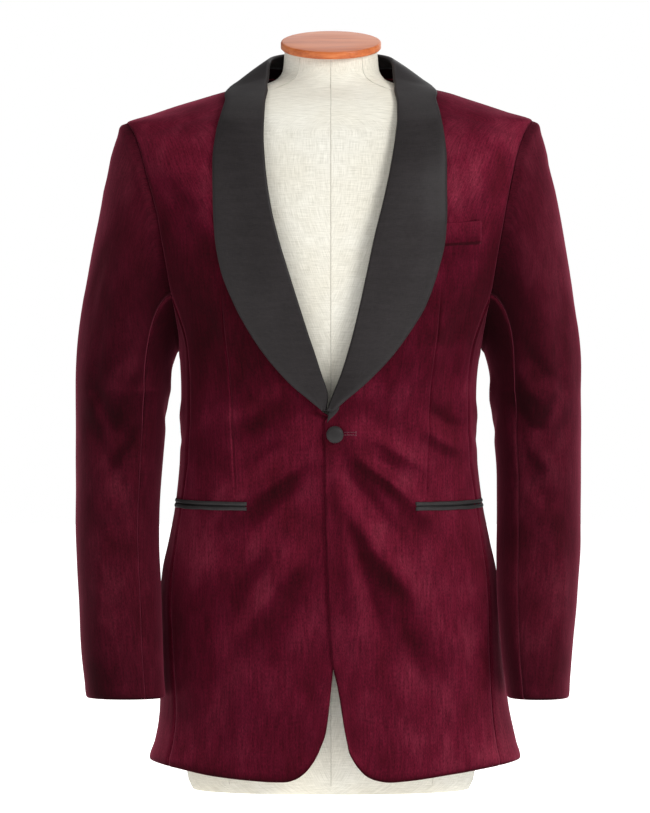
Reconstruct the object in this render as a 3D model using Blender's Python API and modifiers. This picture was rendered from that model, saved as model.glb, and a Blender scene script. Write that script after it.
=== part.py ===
"""A velvet smoking jacket with a satin shawl collar, worn on a limbless dress form.

The front faces -Y and the wearer's left is +X. The origin is the middle of the form's flat base.
The jacket's shell is one surface of level rings, placed by azimuth and height: azimuth 0 is the
centre front, a quarter turn is the side and a half turn is the centre back. Each cut piece is a
grid laid between its own seams on that surface and thickened inwards.
"""

import math

import bmesh
import bpy
from mathutils import Matrix, Vector

# Cloth and seams
VELVET = 0.0024
SATIN = 0.0022
SEAM_GAP = 0.0008
SHOULDER_GAP = 0.0010
QUARTER = math.pi / 2
HALF_TURN = math.pi

# The jacket's level rings, from the hem to the neck
# height, half width, front depth, back depth, squareness
BODY_RINGS = (
    (0.010, 0.2060, 0.1310, 0.1300, 2.25),
    (0.034, 0.2045, 0.1310, 0.1300, 2.25),
    (0.055, 0.1985, 0.1305, 0.1290, 2.25),
    (0.090, 0.1920, 0.1300, 0.1280, 2.25),
    (0.170, 0.1865, 0.1285, 0.1265, 2.25),
    (0.250, 0.1825, 0.1270, 0.1250, 2.30),
    (0.330, 0.1725, 0.1230, 0.1170, 2.30),
    (0.415, 0.1645, 0.1190, 0.1040, 2.30),
    (0.450, 0.1655, 0.1200, 0.1030, 2.30),
    (0.495, 0.1700, 0.1230, 0.1070, 2.35),
    (0.531, 0.1810, 0.1250, 0.1120, 2.40),
    (0.572, 0.1970, 0.1265, 0.1170, 2.40),
    (0.620, 0.2100, 0.1260, 0.1210, 2.40),
    (0.657, 0.2170, 0.1220, 0.1220, 2.40),
    (0.684, 0.2210, 0.1160, 0.1190, 2.40),
    (0.720, 0.2245, 0.1020, 0.1110, 2.30),
    (0.748, 0.2255, 0.0860, 0.0990, 2.20),
    (0.758, 0.1960, 0.0800, 0.0930, 2.20),
    (0.767, 0.1700, 0.0740, 0.0870, 2.20),
    (0.776, 0.1430, 0.0670, 0.0800, 2.20),
    (0.785, 0.1155, 0.0580, 0.0730, 2.20),
    (0.793, 0.0940, 0.0520, 0.0680, 2.20),
    (0.800, 0.0800, 0.0490, 0.0650, 2.20),
    (0.812, 0.0710, 0.0480, 0.0620, 2.20),
    (0.831, 0.0650, 0.0480, 0.0600, 2.20),
)

# The armhole, an oval seen from the side
ARMHOLE_MIDDLE = 0.6215
ARMHOLE_HALF_HEIGHT = 0.1265
ARMHOLE_FRONT = 0.065
ARMHOLE_BACK = 0.068
SLEEVE_COLUMNS = 24
COLUMN_TURN = 2 * HALF_TURN / SLEEVE_COLUMNS
SIDE_SEAM_TURNS = 8
SIDE_TOP = ARMHOLE_MIDDLE + ARMHOLE_HALF_HEIGHT * math.cos(SIDE_SEAM_TURNS * COLUMN_TURN)

# Seams of the side body, in degrees of azimuth
# height, front seam, back seam
SIDE_SEAMS = (
    (0.020, 61.0, 119.0),
    (0.150, 66.0, 118.0),
    (0.240, 70.0, 118.0),
    (0.320, 73.0, 118.0),
    (0.370, 70.0, 118.0),
    (0.455, 67.0, 118.0),
)

# The front edges below the lapels, each measured to its own side of the middle
# height, left edge, right edge
FRONT_EDGES = (
    (0.050, 0.0200, 0.0135),
    (0.070, 0.0134, 0.0060),
    (0.094, 0.0100, 0.0025),
    (0.116, 0.0067, 0.0003),
    (0.147, 0.0011, -0.0030),
    (0.200, -0.0020, -0.0070),
    (0.265, -0.0049, -0.0100),
    (0.352, -0.0067, -0.0120),
    (0.418, -0.0070, -0.0125),
)

# The front hems, from the rounded corner to the side
# distance from the middle, left height, right height
FRONT_HEMS = (
    (0.0135, 0.0690, 0.0500),
    (0.0200, 0.0500, 0.0380),
    (0.0290, 0.0337, 0.0265),
    (0.0400, 0.0225, 0.0190),
    (0.0520, 0.0175, 0.0160),
    (0.0650, 0.0156, 0.0160),
    (0.0850, 0.0168, 0.0170),
    (0.1300, 0.0225, 0.0210),
    (0.1720, 0.0290, 0.0280),
    (0.2060, 0.0345, 0.0335),
)
BACK_HEM = 0.0330

# The roll lines and outer edges of the lapels, each measured to its own side of the middle
# height, left roll, left edge, right roll, right edge
LAPELS = (
    (0.430, -0.0015, 0.0040, 0.0055, 0.0110),
    (0.437, 0.0010, 0.0115, 0.0040, 0.0190),
    (0.445, 0.0035, 0.0205, 0.0030, 0.0285),
    (0.455, 0.0062, 0.0325, 0.0048, 0.0405),
    (0.468, 0.0100, 0.0465, 0.0095, 0.0535),
    (0.490, 0.0170, 0.0670, 0.0165, 0.0720),
    (0.515, 0.0240, 0.0855, 0.0250, 0.0890),
    (0.548, 0.0318, 0.1053, 0.0355, 0.1070),
    (0.588, 0.0405, 0.1190, 0.0480, 0.1225),
    (0.624, 0.0480, 0.1262, 0.0588, 0.1288),
    (0.664, 0.0580, 0.1285, 0.0678, 0.1310),
    (0.706, 0.0668, 0.1285, 0.0732, 0.1316),
    (0.738, 0.0718, 0.1252, 0.0750, 0.1278),
    (0.758, 0.0738, 0.1212, 0.0744, 0.1225),
    (0.772, 0.0738, 0.1172, 0.0736, 0.1180),
)
LAPEL_FOOT = LAPELS[0][0]
LAPEL_HEIGHTS = (0.430, 0.437, 0.445, 0.455, 0.468, 0.483, 0.500, 0.520, 0.545, 0.570, 0.595,
                 0.620, 0.645, 0.668, 0.690, 0.710, 0.728, 0.744, 0.758, 0.772)
LAPEL_NOTCH = 0.004
LEFT_ROLL, LEFT_EDGE, RIGHT_ROLL, RIGHT_EDGE = 1, 2, 3, 4

# The collar over the shoulder and round the back neck, angles in degrees of azimuth
# roll angle, roll height, edge angle, edge height, stand depth
NECK_ROWS = (
    (37.0, 0.7860, 60.0, 0.7785, 0.0015),
    (58.0, 0.7990, 78.0, 0.7840, 0.0025),
    (74.0, 0.8100, 88.0, 0.7853, 0.0070),
    (90.0, 0.8185, 97.0, 0.7853, 0.0120),
    (108.0, 0.8235, 108.0, 0.7830, 0.0160),
    (126.0, 0.8265, 124.0, 0.7790, 0.0190),
    (144.0, 0.8285, 142.0, 0.7745, 0.0210),
    (162.0, 0.8295, 161.0, 0.7710, 0.0220),
    (180.0, 0.8300, 180.0, 0.7695, 0.0220),
)
LAPEL_STAND = 0.0015
ROLL_RADIUS = 0.0030
ROLL_STEPS = 4
FALL_STEPS = 6
FALL_HEIGHT = 0.0034
FALL_PUFF = 0.0014
ROLL_ROOM = 0.0055

# The left front laps over the right one at the middle
LAP_LIFT = VELVET + 0.0010
LAP_INNER = 0.022
LAP_OUTER = 0.060
LAP_LOW = 0.440
LAP_HIGH = 0.475

# The largest folds of the fronts, seen from the front, +X to the wearer's left
# start across, start height, end across, end height, half width, rise
FRONT_FOLDS = (
    (0.034, 0.392, 0.098, 0.322, 0.0130, 0.0034),
    (0.030, 0.366, 0.074, 0.262, 0.0150, 0.0022),
    (0.060, 0.262, 0.110, 0.190, 0.0220, 0.0028),
    (-0.036, 0.392, -0.100, 0.330, 0.0140, 0.0034),
    (-0.030, 0.356, -0.070, 0.270, 0.0160, 0.0020),
    (-0.060, 0.232, -0.100, 0.120, 0.0240, 0.0026),
)

# The sleeves' level rings, from the cuff to the upper arm, each measured to its own side
# height, middle across, middle along, half width, half depth
LEFT_SLEEVE = (
    (0.1070, 0.2315, -0.0600, 0.0345, 0.0540),
    (0.1580, 0.2300, -0.0540, 0.0400, 0.0560),
    (0.2170, 0.2305, -0.0400, 0.0450, 0.0580),
    (0.2800, 0.2325, -0.0200, 0.0475, 0.0615),
    (0.3500, 0.2330, -0.0080, 0.0480, 0.0660),
    (0.4100, 0.2310, 0.0000, 0.0500, 0.0700),
    (0.4500, 0.2295, 0.0010, 0.0505, 0.0725),
)
RIGHT_SLEEVE = (
    (0.1070, 0.2285, -0.0600, 0.0445, 0.0500),
    (0.1580, 0.2325, -0.0540, 0.0460, 0.0530),
    (0.2170, 0.2348, -0.0400, 0.0462, 0.0570),
    (0.2970, 0.2382, -0.0180, 0.0472, 0.0620),
    (0.3500, 0.2370, -0.0080, 0.0487, 0.0660),
    (0.4100, 0.2345, 0.0000, 0.0512, 0.0700),
    (0.4500, 0.2328, 0.0010, 0.0525, 0.0725),
)
SLEEVE_SQUARENESS = 2.15
ARM_ROWS = 8
CROWN_ROWS = 5
FRONT_SEAM_COLUMN = 8
HIND_SEAM_COLUMN = -9
SLEEVE_SEAM_TURN = 0.0100
ARMHOLE_GAP = 0.0006
CROWN_GAP = 0.0012
CROWN_RISE = 0.070
CROWN_RISE_CHANGE = 0.050
CROWN_LEAVE_SIDE = 0.030
CROWN_LEAVE_TOP = 0.0165
CROWN_LEAVE_UNDER = 0.006
CROWN_FORWARD = 0.010
CROWN_DROP_SIDE = 0.020
CROWN_DROP_TOP = 0.0107
CROWN_DROP_UNDER = 0.018

# The largest folds of the sleeves: angle round the arm in degrees, outwards 0 and front 90
# start angle, start height, end angle, end height, half width, rise
SLEEVE_FOLDS = (
    (50.0, 0.462, 80.0, 0.412, 0.0120, -0.0030),
    (60.0, 0.400, 95.0, 0.345, 0.0150, -0.0024),
    (120.0, 0.430, 95.0, 0.360, 0.0140, -0.0026),
    (-60.0, 0.430, -90.0, 0.380, 0.0160, -0.0026),
)

# Pockets and button
JET_LENGTH = 0.150
JET_START = 0.0930
JET_HEIGHT = 0.0040
JET_SLIT = 0.0015
JET_WALL = 0.0012
JET_GAP = 0.0009
POCKET_HEIGHT = 0.3230
JET_STEPS = 14
WELT_START = 0.0900
WELT_END = 0.1670
WELT_FOOT = 0.6110
WELT_HEIGHT = 0.0260
WELT_SLOPE = 0.055
WELT_WALL = 0.0016
WELT_STEPS = 8
TRIM_GAP = 0.0007
WELT_LIFT = 0.0022
WELT_LIFT_SPAN = 0.034
BUTTON_RADIUS = 0.0095
BUTTON_HALF_THICKNESS = 0.0030
BUTTON_ACROSS = 0.0043
BUTTON_HEIGHT = 0.4035

# The dress form, from its base to its neck
# height, half width, front depth, back depth, squareness
FORM_RINGS = (
    (0.0000, 0.1560, 0.0980, 0.0960, 2.3),
    (0.0060, 0.1600, 0.1020, 0.1000, 2.3),
    (0.0600, 0.1670, 0.1090, 0.1080, 2.3),
    (0.1500, 0.1700, 0.1130, 0.1120, 2.3),
    (0.2400, 0.1660, 0.1120, 0.1100, 2.3),
    (0.3200, 0.1550, 0.1070, 0.1000, 2.3),
    (0.4150, 0.1430, 0.1010, 0.0870, 2.3),
    (0.4900, 0.1480, 0.1050, 0.0900, 2.3),
    (0.5700, 0.1590, 0.1110, 0.1000, 2.3),
    (0.6400, 0.1700, 0.1100, 0.1070, 2.3),
    (0.6900, 0.1800, 0.1020, 0.1040, 2.3),
    (0.7250, 0.1890, 0.0900, 0.0960, 2.2),
    (0.7430, 0.1950, 0.0800, 0.0890, 2.2),
    (0.7520, 0.1940, 0.0750, 0.0850, 2.2),
    (0.7580, 0.1868, 0.0725, 0.0830, 2.2),
    (0.7670, 0.1606, 0.0675, 0.0790, 2.2),
    (0.7760, 0.1336, 0.0610, 0.0720, 2.2),
    (0.7850, 0.1060, 0.0520, 0.0640, 2.2),
    (0.7930, 0.0760, 0.0470, 0.0560, 2.1),
    (0.8000, 0.0600, 0.0460, 0.0500, 2.0),
    (0.8100, 0.0540, 0.0460, 0.0470, 2.0),
    (0.8330, 0.0520, 0.0460, 0.0460, 2.0),
)
FORM_COLUMNS = 28
NECK_TILT = math.radians(13.0)
TILT_FOOT = 0.800
CAP_RADIUS = 0.0565
CAP_THICKNESS = 0.0085
CAP_EDGE = 0.0022
CAP_SEGMENTS = 40

# Rows of the body's grids
HEM_ROWS = (0.0, 0.12, 0.28, 0.48, 0.72)
BODY_ROWS = (0.170, 0.220, 0.270, 0.323, 0.365, 0.400, 0.416, 0.427, 0.450)
SIDE_FOOT = 0.470
SIDE_ROWS = 3
SHOULDER_ROWS = (0.757, 0.766, 0.775, 0.784, 0.792, 0.800)
FRONT_SHARES = (0.0, 0.022, 0.055, 0.105, 0.18, 0.29, 0.43, 0.60, 0.79, 1.0)
FRONT_COLUMNS = len(FRONT_SHARES) - 1
BACK_COLUMNS = 6

# Colours and finishes
VELVET_COLOUR = (0.085, 0.004, 0.016, 1.0)
SATIN_COLOUR = (0.012, 0.011, 0.011, 1.0)
LINEN_COLOUR = (0.78, 0.75, 0.66, 1.0)
WOOD_COLOUR = (0.55, 0.19, 0.08, 1.0)


def material(name, colour, roughness):
    """Make one sub-part's own material."""
    made = bpy.data.materials.new(name)
    made.use_nodes = True
    shader = made.node_tree.nodes["Principled BSDF"]
    shader.inputs["Base Color"].default_value = colour
    shader.inputs["Roughness"].default_value = roughness
    shader.inputs["Metallic"].default_value = 0.0
    return made


def meeting_slope(before, after):
    """Slope of a smooth curve where two straight slopes meet."""
    if before * after <= 0.0:
        return 0.0
    return 2.0 * before * after / (before + after)


def read(table, column, at):
    """Read a column of a table at a value of its first column, on a smooth curve."""
    if at <= table[0][0]:
        return table[0][column]
    if at >= table[-1][0]:
        return table[-1][column]
    index = max(i for i in range(len(table) - 1) if table[i][0] <= at)
    slopes = []
    for i in (index - 1, index, index + 1):
        i = min(max(i, 0), len(table) - 2)
        rise = table[i + 1][column] - table[i][column]
        slopes.append(rise / (table[i + 1][0] - table[i][0]))
    span = table[index + 1][0] - table[index][0]
    t = (at - table[index][0]) / span
    start = meeting_slope(slopes[0], slopes[1]) * span
    end = meeting_slope(slopes[1], slopes[2]) * span
    low, high = table[index][column], table[index + 1][column]
    return (low * (2 * t**3 - 3 * t**2 + 1) + start * (t**3 - 2 * t**2 + t)
            + high * (3 * t**2 - 2 * t**3) + end * (t**3 - t**2))


def ease(low, high, at):
    """Go smoothly from 0 at low to 1 at high."""
    t = min(max((at - low) / (high - low), 0.0), 1.0)
    return t * t * (3 - 2 * t)


def power(value, exponent):
    """Raise a value to a power and keep its sign."""
    return math.copysign(abs(value) ** exponent, value)


def ring(rings, height):
    """Sizes of a level ring at a height."""
    return [read(rings, column, height) for column in (1, 2, 3, 4)]


def ring_point(rings, azimuth, height):
    """A point on a body of level rings."""
    half_width, front, back, squareness = ring(rings, height)
    depth = front if math.cos(azimuth) > 0 else back
    across = half_width * power(math.sin(azimuth), 2 / squareness)
    along = -depth * power(math.cos(azimuth), 2 / squareness)
    return Vector((across, along, height))


def front_azimuth(across, height):
    """Azimuth of the front point that lies at a distance across."""
    half_width, _, _, squareness = ring(BODY_RINGS, height)
    share = min(abs(across) / half_width, 1.0)
    return math.copysign(math.asin(share ** (squareness / 2)), across)


def fold_rise(folds, across, height):
    """Rise of a table of straight folds at a place, fading at each fold's ends."""
    rise = 0.0
    for x0, z0, x1, z1, half_width, top in folds:
        length = math.hypot(x1 - x0, z1 - z0)
        along = ((across - x0) * (x1 - x0) + (height - z0) * (z1 - z0)) / length
        off = ((across - x0) * (z1 - z0) - (height - z0) * (x1 - x0)) / length
        past = max(-along, along - length, 0.0) / (2 * half_width)
        rise += top * math.exp(-((off / half_width) ** 2) - past**2)
    return rise


def body_point(azimuth, height, out=0.0):
    """A point on the jacket's outer surface, moved out along its normal."""
    step = 0.002
    side_step = ring_point(BODY_RINGS, azimuth + step, height)
    side_step -= ring_point(BODY_RINGS, azimuth - step, height)
    up_step = ring_point(BODY_RINGS, azimuth, height + step / 2)
    up_step -= ring_point(BODY_RINGS, azimuth, height - step / 2)
    normal = side_step.cross(up_step).normalized()
    point = ring_point(BODY_RINGS, azimuth, height)
    if math.cos(azimuth) > 0:
        out += fold_rise(FRONT_FOLDS, point.x, height)
    return point + normal * out


def lap(side, across, height):
    """How far the left front is raised where it laps over the right one."""
    if side < 0:
        return 0.0
    sideways = 1 - ease(LAP_INNER, LAP_OUTER, across * side)
    return LAP_LIFT * sideways * (1 - ease(LAP_LOW, LAP_HIGH, height))


def front_point(side, azimuth, height, out=0.0):
    """A point on a front, with the left front's lap."""
    across = ring_point(BODY_RINGS, azimuth, height).x
    return body_point(azimuth, height, out + lap(side, across, height))


def seam_turn(azimuth, height, gap):
    """Turn in azimuth that moves a front or back point along its ring by a gap."""
    step = 0.004
    ahead = ring_point(BODY_RINGS, azimuth + step, height)
    behind = ring_point(BODY_RINGS, azimuth - step, height)
    return gap * 2 * step / (ahead - behind).length


def armhole_azimuth(turn):
    """Azimuth and height of the armhole at a turn from its top, forwards first."""
    height = ARMHOLE_MIDDLE + ARMHOLE_HALF_HEIGHT * math.cos(turn)
    _, front, back, squareness = ring(BODY_RINGS, height)
    if math.sin(turn) >= 0:
        share = ARMHOLE_FRONT * math.sin(turn) / front
        return math.acos(share ** (squareness / 2)), height
    share = -ARMHOLE_BACK * math.sin(turn) / back
    return HALF_TURN - math.acos(share ** (squareness / 2)), height


def armhole_at(height, forwards):
    """Azimuth of the front or back half of the armhole at a height."""
    share = (height - ARMHOLE_MIDDLE) / ARMHOLE_HALF_HEIGHT
    turn = math.acos(min(max(share, -1.0), 1.0))
    return armhole_azimuth(turn * forwards)[0]


def front_seam(height):
    """Azimuth of the seam between a front and the side body."""
    top = math.degrees(armhole_at(SIDE_TOP, 1))
    return math.radians(read(SIDE_SEAMS + ((SIDE_TOP, top, 0.0),), 1, height))


def back_seam(height):
    """Azimuth of the seam between a back and the side body."""
    top = math.degrees(armhole_at(SIDE_TOP, -1))
    return math.radians(read(SIDE_SEAMS + ((SIDE_TOP, 0.0, top),), 2, height))


def hem_height(side, azimuth):
    """Height of the hem at an azimuth."""
    column = 1 if side > 0 else 2
    front_hem = read(FRONT_HEMS, column, ring_point(BODY_RINGS, azimuth, BACK_HEM).x)
    return front_hem + (BACK_HEM - front_hem) * ease(QUARTER, QUARTER * 1.2, azimuth)


def front_edge(side, height):
    """Distance of a front's edge from the middle, to its own side."""
    if height >= LAPEL_FOOT - LAPEL_NOTCH:
        return read(LAPELS, LEFT_ROLL if side > 0 else RIGHT_ROLL, height) + ROLL_ROOM
    return read(FRONT_EDGES, 1 if side > 0 else 2, height)


def outer_azimuth(height, forwards):
    """Azimuth where a front or back ends: at its side seam, armhole or shoulder seam."""
    if height < SIDE_TOP:
        return front_seam(height) if forwards > 0 else back_seam(height)
    if height < ARMHOLE_MIDDLE + ARMHOLE_HALF_HEIGHT:
        return armhole_at(height, forwards)
    return QUARTER


def side_heights():
    """Heights of the rows between the underarm's foot and the side body's top."""
    step = (SIDE_TOP - SIDE_FOOT) / SIDE_ROWS
    return [SIDE_FOOT + step * row for row in range(SIDE_ROWS + 1)]


def armhole_heights():
    """Heights of the rows that meet the sleeve's columns, up to the shoulder's end."""
    turns = range(SIDE_SEAM_TURNS - 1, -1, -1)
    return [ARMHOLE_MIDDLE + ARMHOLE_HALF_HEIGHT * math.cos(t * COLUMN_TURN) for t in turns]


def body_rows(with_shoulder):
    """Rows of a body piece: a share of the way up from the hem, or a height."""
    rows = list(BODY_ROWS) + side_heights()
    if with_shoulder:
        rows += armhole_heights() + list(SHOULDER_ROWS)
    return rows


def row_height(rows, row, hem):
    """Height of a row where the hem is at a given height."""
    if row < len(HEM_ROWS):
        return hem + (rows[0] - hem) * HEM_ROWS[row]
    return rows[row - len(HEM_ROWS)]


def seam_gap_at(height):
    """Half the gap of a seam: none at the armhole, where the sleeve leaves it."""
    if height < SIDE_TOP + 0.0001:
        return SEAM_GAP / 2
    if height < ARMHOLE_MIDDLE + ARMHOLE_HALF_HEIGHT - 0.0001:
        return 0.0
    return SHOULDER_GAP / 2


def front_place(side):
    """Place a front's grid: from its edge to its seam, and from its hem to the neck."""
    rows = body_rows(True)

    def place(column, row):
        corner = FRONT_EDGES[0][0]
        edge_height = row_height(rows, row, corner)
        start = front_azimuth(side * front_edge(side, edge_height), edge_height) * side
        seam_height = row_height(rows, row, hem_height(side, front_seam(BACK_HEM)))
        end = outer_azimuth(seam_height, 1)
        end -= seam_turn(end - 0.01, seam_height, seam_gap_at(seam_height))
        azimuth = start + (end - start) * FRONT_SHARES[column]
        hem = hem_height(side, azimuth) if column else corner
        return front_point(side, azimuth * side, row_height(rows, row, hem))

    return place, len(HEM_ROWS) + len(rows) - 1


def back_place(side):
    """Place a back's grid: from its side seam to the centre back, and from hem to neck."""
    rows = body_rows(True)

    def place(column, row):
        hem = hem_height(side, HALF_TURN)
        height = row_height(rows, row, hem)
        start = outer_azimuth(height, -1)
        start += seam_turn(start + 0.01, height, seam_gap_at(height))
        end = HALF_TURN - seam_turn(HALF_TURN - 0.02, height, SEAM_GAP / 2)
        azimuth = start + (end - start) * column / BACK_COLUMNS
        return body_point(azimuth * side, height)

    return place, len(HEM_ROWS) + len(rows) - 1


def side_place(side):
    """Place a side body's grid: between its seams, and from the hem to the underarm."""
    rows = body_rows(False)
    columns = SLEEVE_COLUMNS - 2 * SIDE_SEAM_TURNS
    front_top, back_top = armhole_at(SIDE_TOP, 1), armhole_at(SIDE_TOP, -1)

    def place(column, row):
        turn = (SIDE_SEAM_TURNS + column) * COLUMN_TURN
        top_azimuth, top = armhole_azimuth(turn)
        share = (top_azimuth - front_top) / (back_top - front_top)
        height = row_height(rows, row, hem_height(side, front_seam(BACK_HEM)))
        start = front_seam(height)
        start += seam_turn(start, height, SEAM_GAP / 2)
        height = row_height(rows, row, BACK_HEM)
        end = back_seam(height)
        end -= seam_turn(end, height, SEAM_GAP / 2)
        azimuth = start + (end - start) * share
        height = row_height(rows, row, hem_height(side, azimuth))
        if height > SIDE_FOOT:
            rise = (height - SIDE_FOOT) / (SIDE_TOP - SIDE_FOOT)
            height = SIDE_FOOT + (top - SIDE_FOOT) * rise
        return body_point(azimuth * side, height)

    return place, columns, len(HEM_ROWS) + len(rows) - 1


def sleeve_ring_point(side, turn, height):
    """A point of the arm's level rings, at a turn from outwards, forwards first."""
    rings = LEFT_SLEEVE if side > 0 else RIGHT_SLEEVE
    across, along, half_width, half_depth = ring(rings, height)
    folds = [(math.radians(a0) * half_depth, z0, math.radians(a1) * half_depth, z1, width, top)
             for a0, z0, a1, z1, width, top in SLEEVE_FOLDS]
    rise = fold_rise(folds, turn * half_depth, height)
    across += (half_width + rise) * power(math.cos(turn), 2 / SLEEVE_SQUARENESS)
    along -= (half_depth + rise) * power(math.sin(turn), 2 / SLEEVE_SQUARENESS)
    return Vector((side * across, along, height))


def sleeve_point(side, turn, row):
    """A point of the sleeve: level rings up the arm, then a crown that bends to the armhole."""
    rings = LEFT_SLEEVE if side > 0 else RIGHT_SLEEVE
    foot, top = rings[0][0], rings[-1][0]
    if row <= ARM_ROWS:
        return sleeve_ring_point(side, turn, foot + (top - foot) * row / ARM_ROWS)
    cosine, sine = math.cos(turn), math.sin(turn)
    azimuth, height = armhole_azimuth(turn)
    gap = ARMHOLE_GAP + CROWN_GAP * max(cosine, 0.0) ** 2
    end = body_point(azimuth * side, height) + Vector((side * gap, 0.0, 0.0))
    start = sleeve_ring_point(side, turn, top)
    leave_end = CROWN_LEAVE_TOP if cosine > 0 else CROWN_LEAVE_UNDER
    drop_end = CROWN_DROP_TOP if cosine > 0 else CROWN_DROP_UNDER
    leave = Vector((
        side * (CROWN_LEAVE_SIDE * sine**2 + leave_end * cosine**2),
        -CROWN_FORWARD * sine,
        -(CROWN_DROP_SIDE * sine**2 + drop_end * cosine**2),
    ))
    rise = Vector((0.0, 0.0, CROWN_RISE + CROWN_RISE_CHANGE * cosine))
    t = (row - ARM_ROWS) / CROWN_ROWS
    return (start * (1 - t) ** 3 + (start + rise) * (3 * t * (1 - t) ** 2)
            + (end + leave) * (3 * t**2 * (1 - t)) + end * t**3)


def sleeve_place(side, first, last):
    """Place a sleeve piece's grid between two of the sleeve's columns."""
    def place(column, row):
        turn = (first + column) * COLUMN_TURN
        if column == 0:
            turn += SLEEVE_SEAM_TURN
        if column == last - first:
            turn -= SLEEVE_SEAM_TURN
        turn = (turn + HALF_TURN) % (2 * HALF_TURN) - HALF_TURN
        return sleeve_point(side, turn, row)

    return place, last - first, ARM_ROWS + CROWN_ROWS


def collar_rows(side):
    """Rows of the collar: azimuth and height of its roll and its edge, and its stand."""
    roll, edge = (LEFT_ROLL, LEFT_EDGE) if side > 0 else (RIGHT_ROLL, RIGHT_EDGE)
    rows = []
    for height in LAPEL_HEIGHTS:
        start = front_azimuth(read(LAPELS, roll, height), height)
        end = front_azimuth(read(LAPELS, edge, height), height)
        rows.append((start, height, end, height, LAPEL_STAND))
    for start, start_height, end, end_height, stand in NECK_ROWS:
        rows.append((math.radians(start), start_height, math.radians(end), end_height, stand))
    centre = rows[-1]
    gap = seam_turn(HALF_TURN - 0.02, centre[3], SEAM_GAP / 2)
    rows[-1] = (centre[0] - gap * 2.2, centre[1], centre[2] - gap, centre[3], centre[4])
    return rows


def welt_lift(side, height, share):
    """How far the left lapel is raised where it lies over the end of the breast welt."""
    if side < 0:
        return 0.0
    off = (height - WELT_FOOT - WELT_HEIGHT / 2) / WELT_LIFT_SPAN
    return WELT_LIFT * math.exp(-off**4) * ease(0.3, 0.7, share)


def collar_place(side):
    """Place the collar's grid: stand, roll and fall, from the lapel's foot to the centre back."""
    rows = collar_rows(side)

    def place(column, row):
        start, start_height, end, end_height, stand = rows[row]
        roll = front_point(side, start * side, start_height)
        edge = front_point(side, end * side, end_height)
        outward = front_point(side, start * side, start_height, 1.0) - roll
        edge_out = front_point(side, end * side, end_height, 1.0) - edge
        along = (edge - roll).normalized()
        outward = (outward - along * outward.dot(along)).normalized()
        if column == 0:
            return roll + along * (ROLL_RADIUS + stand) - outward * ROLL_RADIUS
        if column <= ROLL_STEPS + 1:
            turn = HALF_TURN * (column - 1) / ROLL_STEPS - QUARTER
            bend = along * (1 - math.cos(turn)) + outward * math.sin(turn)
            return roll + bend * ROLL_RADIUS
        share = (column - ROLL_STEPS - 1) / FALL_STEPS
        width = (edge - roll).length
        reach = (ROLL_RADIUS + (width - ROLL_RADIUS) * share) / width
        chord = roll + along * width * reach
        azimuth = (start + (end - start) * reach) * side
        height = start_height + (end_height - start_height) * reach
        surface = front_point(side, azimuth, height)
        facing = outward.lerp(edge_out, reach).normalized()
        over = (surface - chord).dot(facing)
        base = surface if over > 0 else chord
        rise = ROLL_RADIUS + (FALL_HEIGHT - ROLL_RADIUS) * share
        rise += FALL_PUFF * math.sin(HALF_TURN * share) + welt_lift(side, start_height, share)
        return base + facing * rise

    return place, 1 + ROLL_STEPS + FALL_STEPS, len(rows) - 1


def jet_place(side, foot):
    """Place a jet's grid along the pocket and across its own height."""
    start = front_azimuth(JET_START, POCKET_HEIGHT)
    azimuths = [start]
    for _ in range(JET_STEPS):
        step = seam_turn(azimuths[-1], POCKET_HEIGHT, JET_LENGTH / JET_STEPS)
        azimuths.append(azimuths[-1] + step)

    def place(column, row):
        height = foot + JET_HEIGHT * row
        return body_point(azimuths[column] * side, height, JET_GAP + JET_WALL)

    return place, JET_STEPS, 1


def welt_place(column, row):
    """Place the breast welt's grid, which slopes up to the side."""
    across = WELT_START + (WELT_END - WELT_START) * column / WELT_STEPS
    height = WELT_FOOT + WELT_SLOPE * (across - WELT_START) + WELT_HEIGHT * row
    azimuth = front_azimuth(across, height)
    return body_point(azimuth, height, TRIM_GAP + WELT_WALL)


def cloth_piece(name, collection, grid, wall, finish, flipped):
    """Make a cut piece from a grid of places, and thicken it inwards."""
    place, columns, rows = grid
    shape = bmesh.new()
    bmesh.ops.create_grid(shape, x_segments=columns, y_segments=rows, size=0.5)
    for corner in shape.verts:
        column = round((corner.co.x + 0.5) * columns)
        row = round((corner.co.y + 0.5) * rows)
        corner.co = place(column, row)
    if flipped:
        bmesh.ops.reverse_faces(shape, faces=shape.faces)
    mesh = bpy.data.meshes.new(name)
    shape.to_mesh(mesh)
    shape.free()
    mesh.shade_smooth()
    mesh.materials.append(finish)
    piece = bpy.data.objects.new(name, mesh)
    collection.objects.link(piece)
    thicken = piece.modifiers.new("wall", "SOLIDIFY")
    thicken.thickness = wall
    thicken.offset = -1.0
    thicken.use_even_offset = True
    return piece


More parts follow.
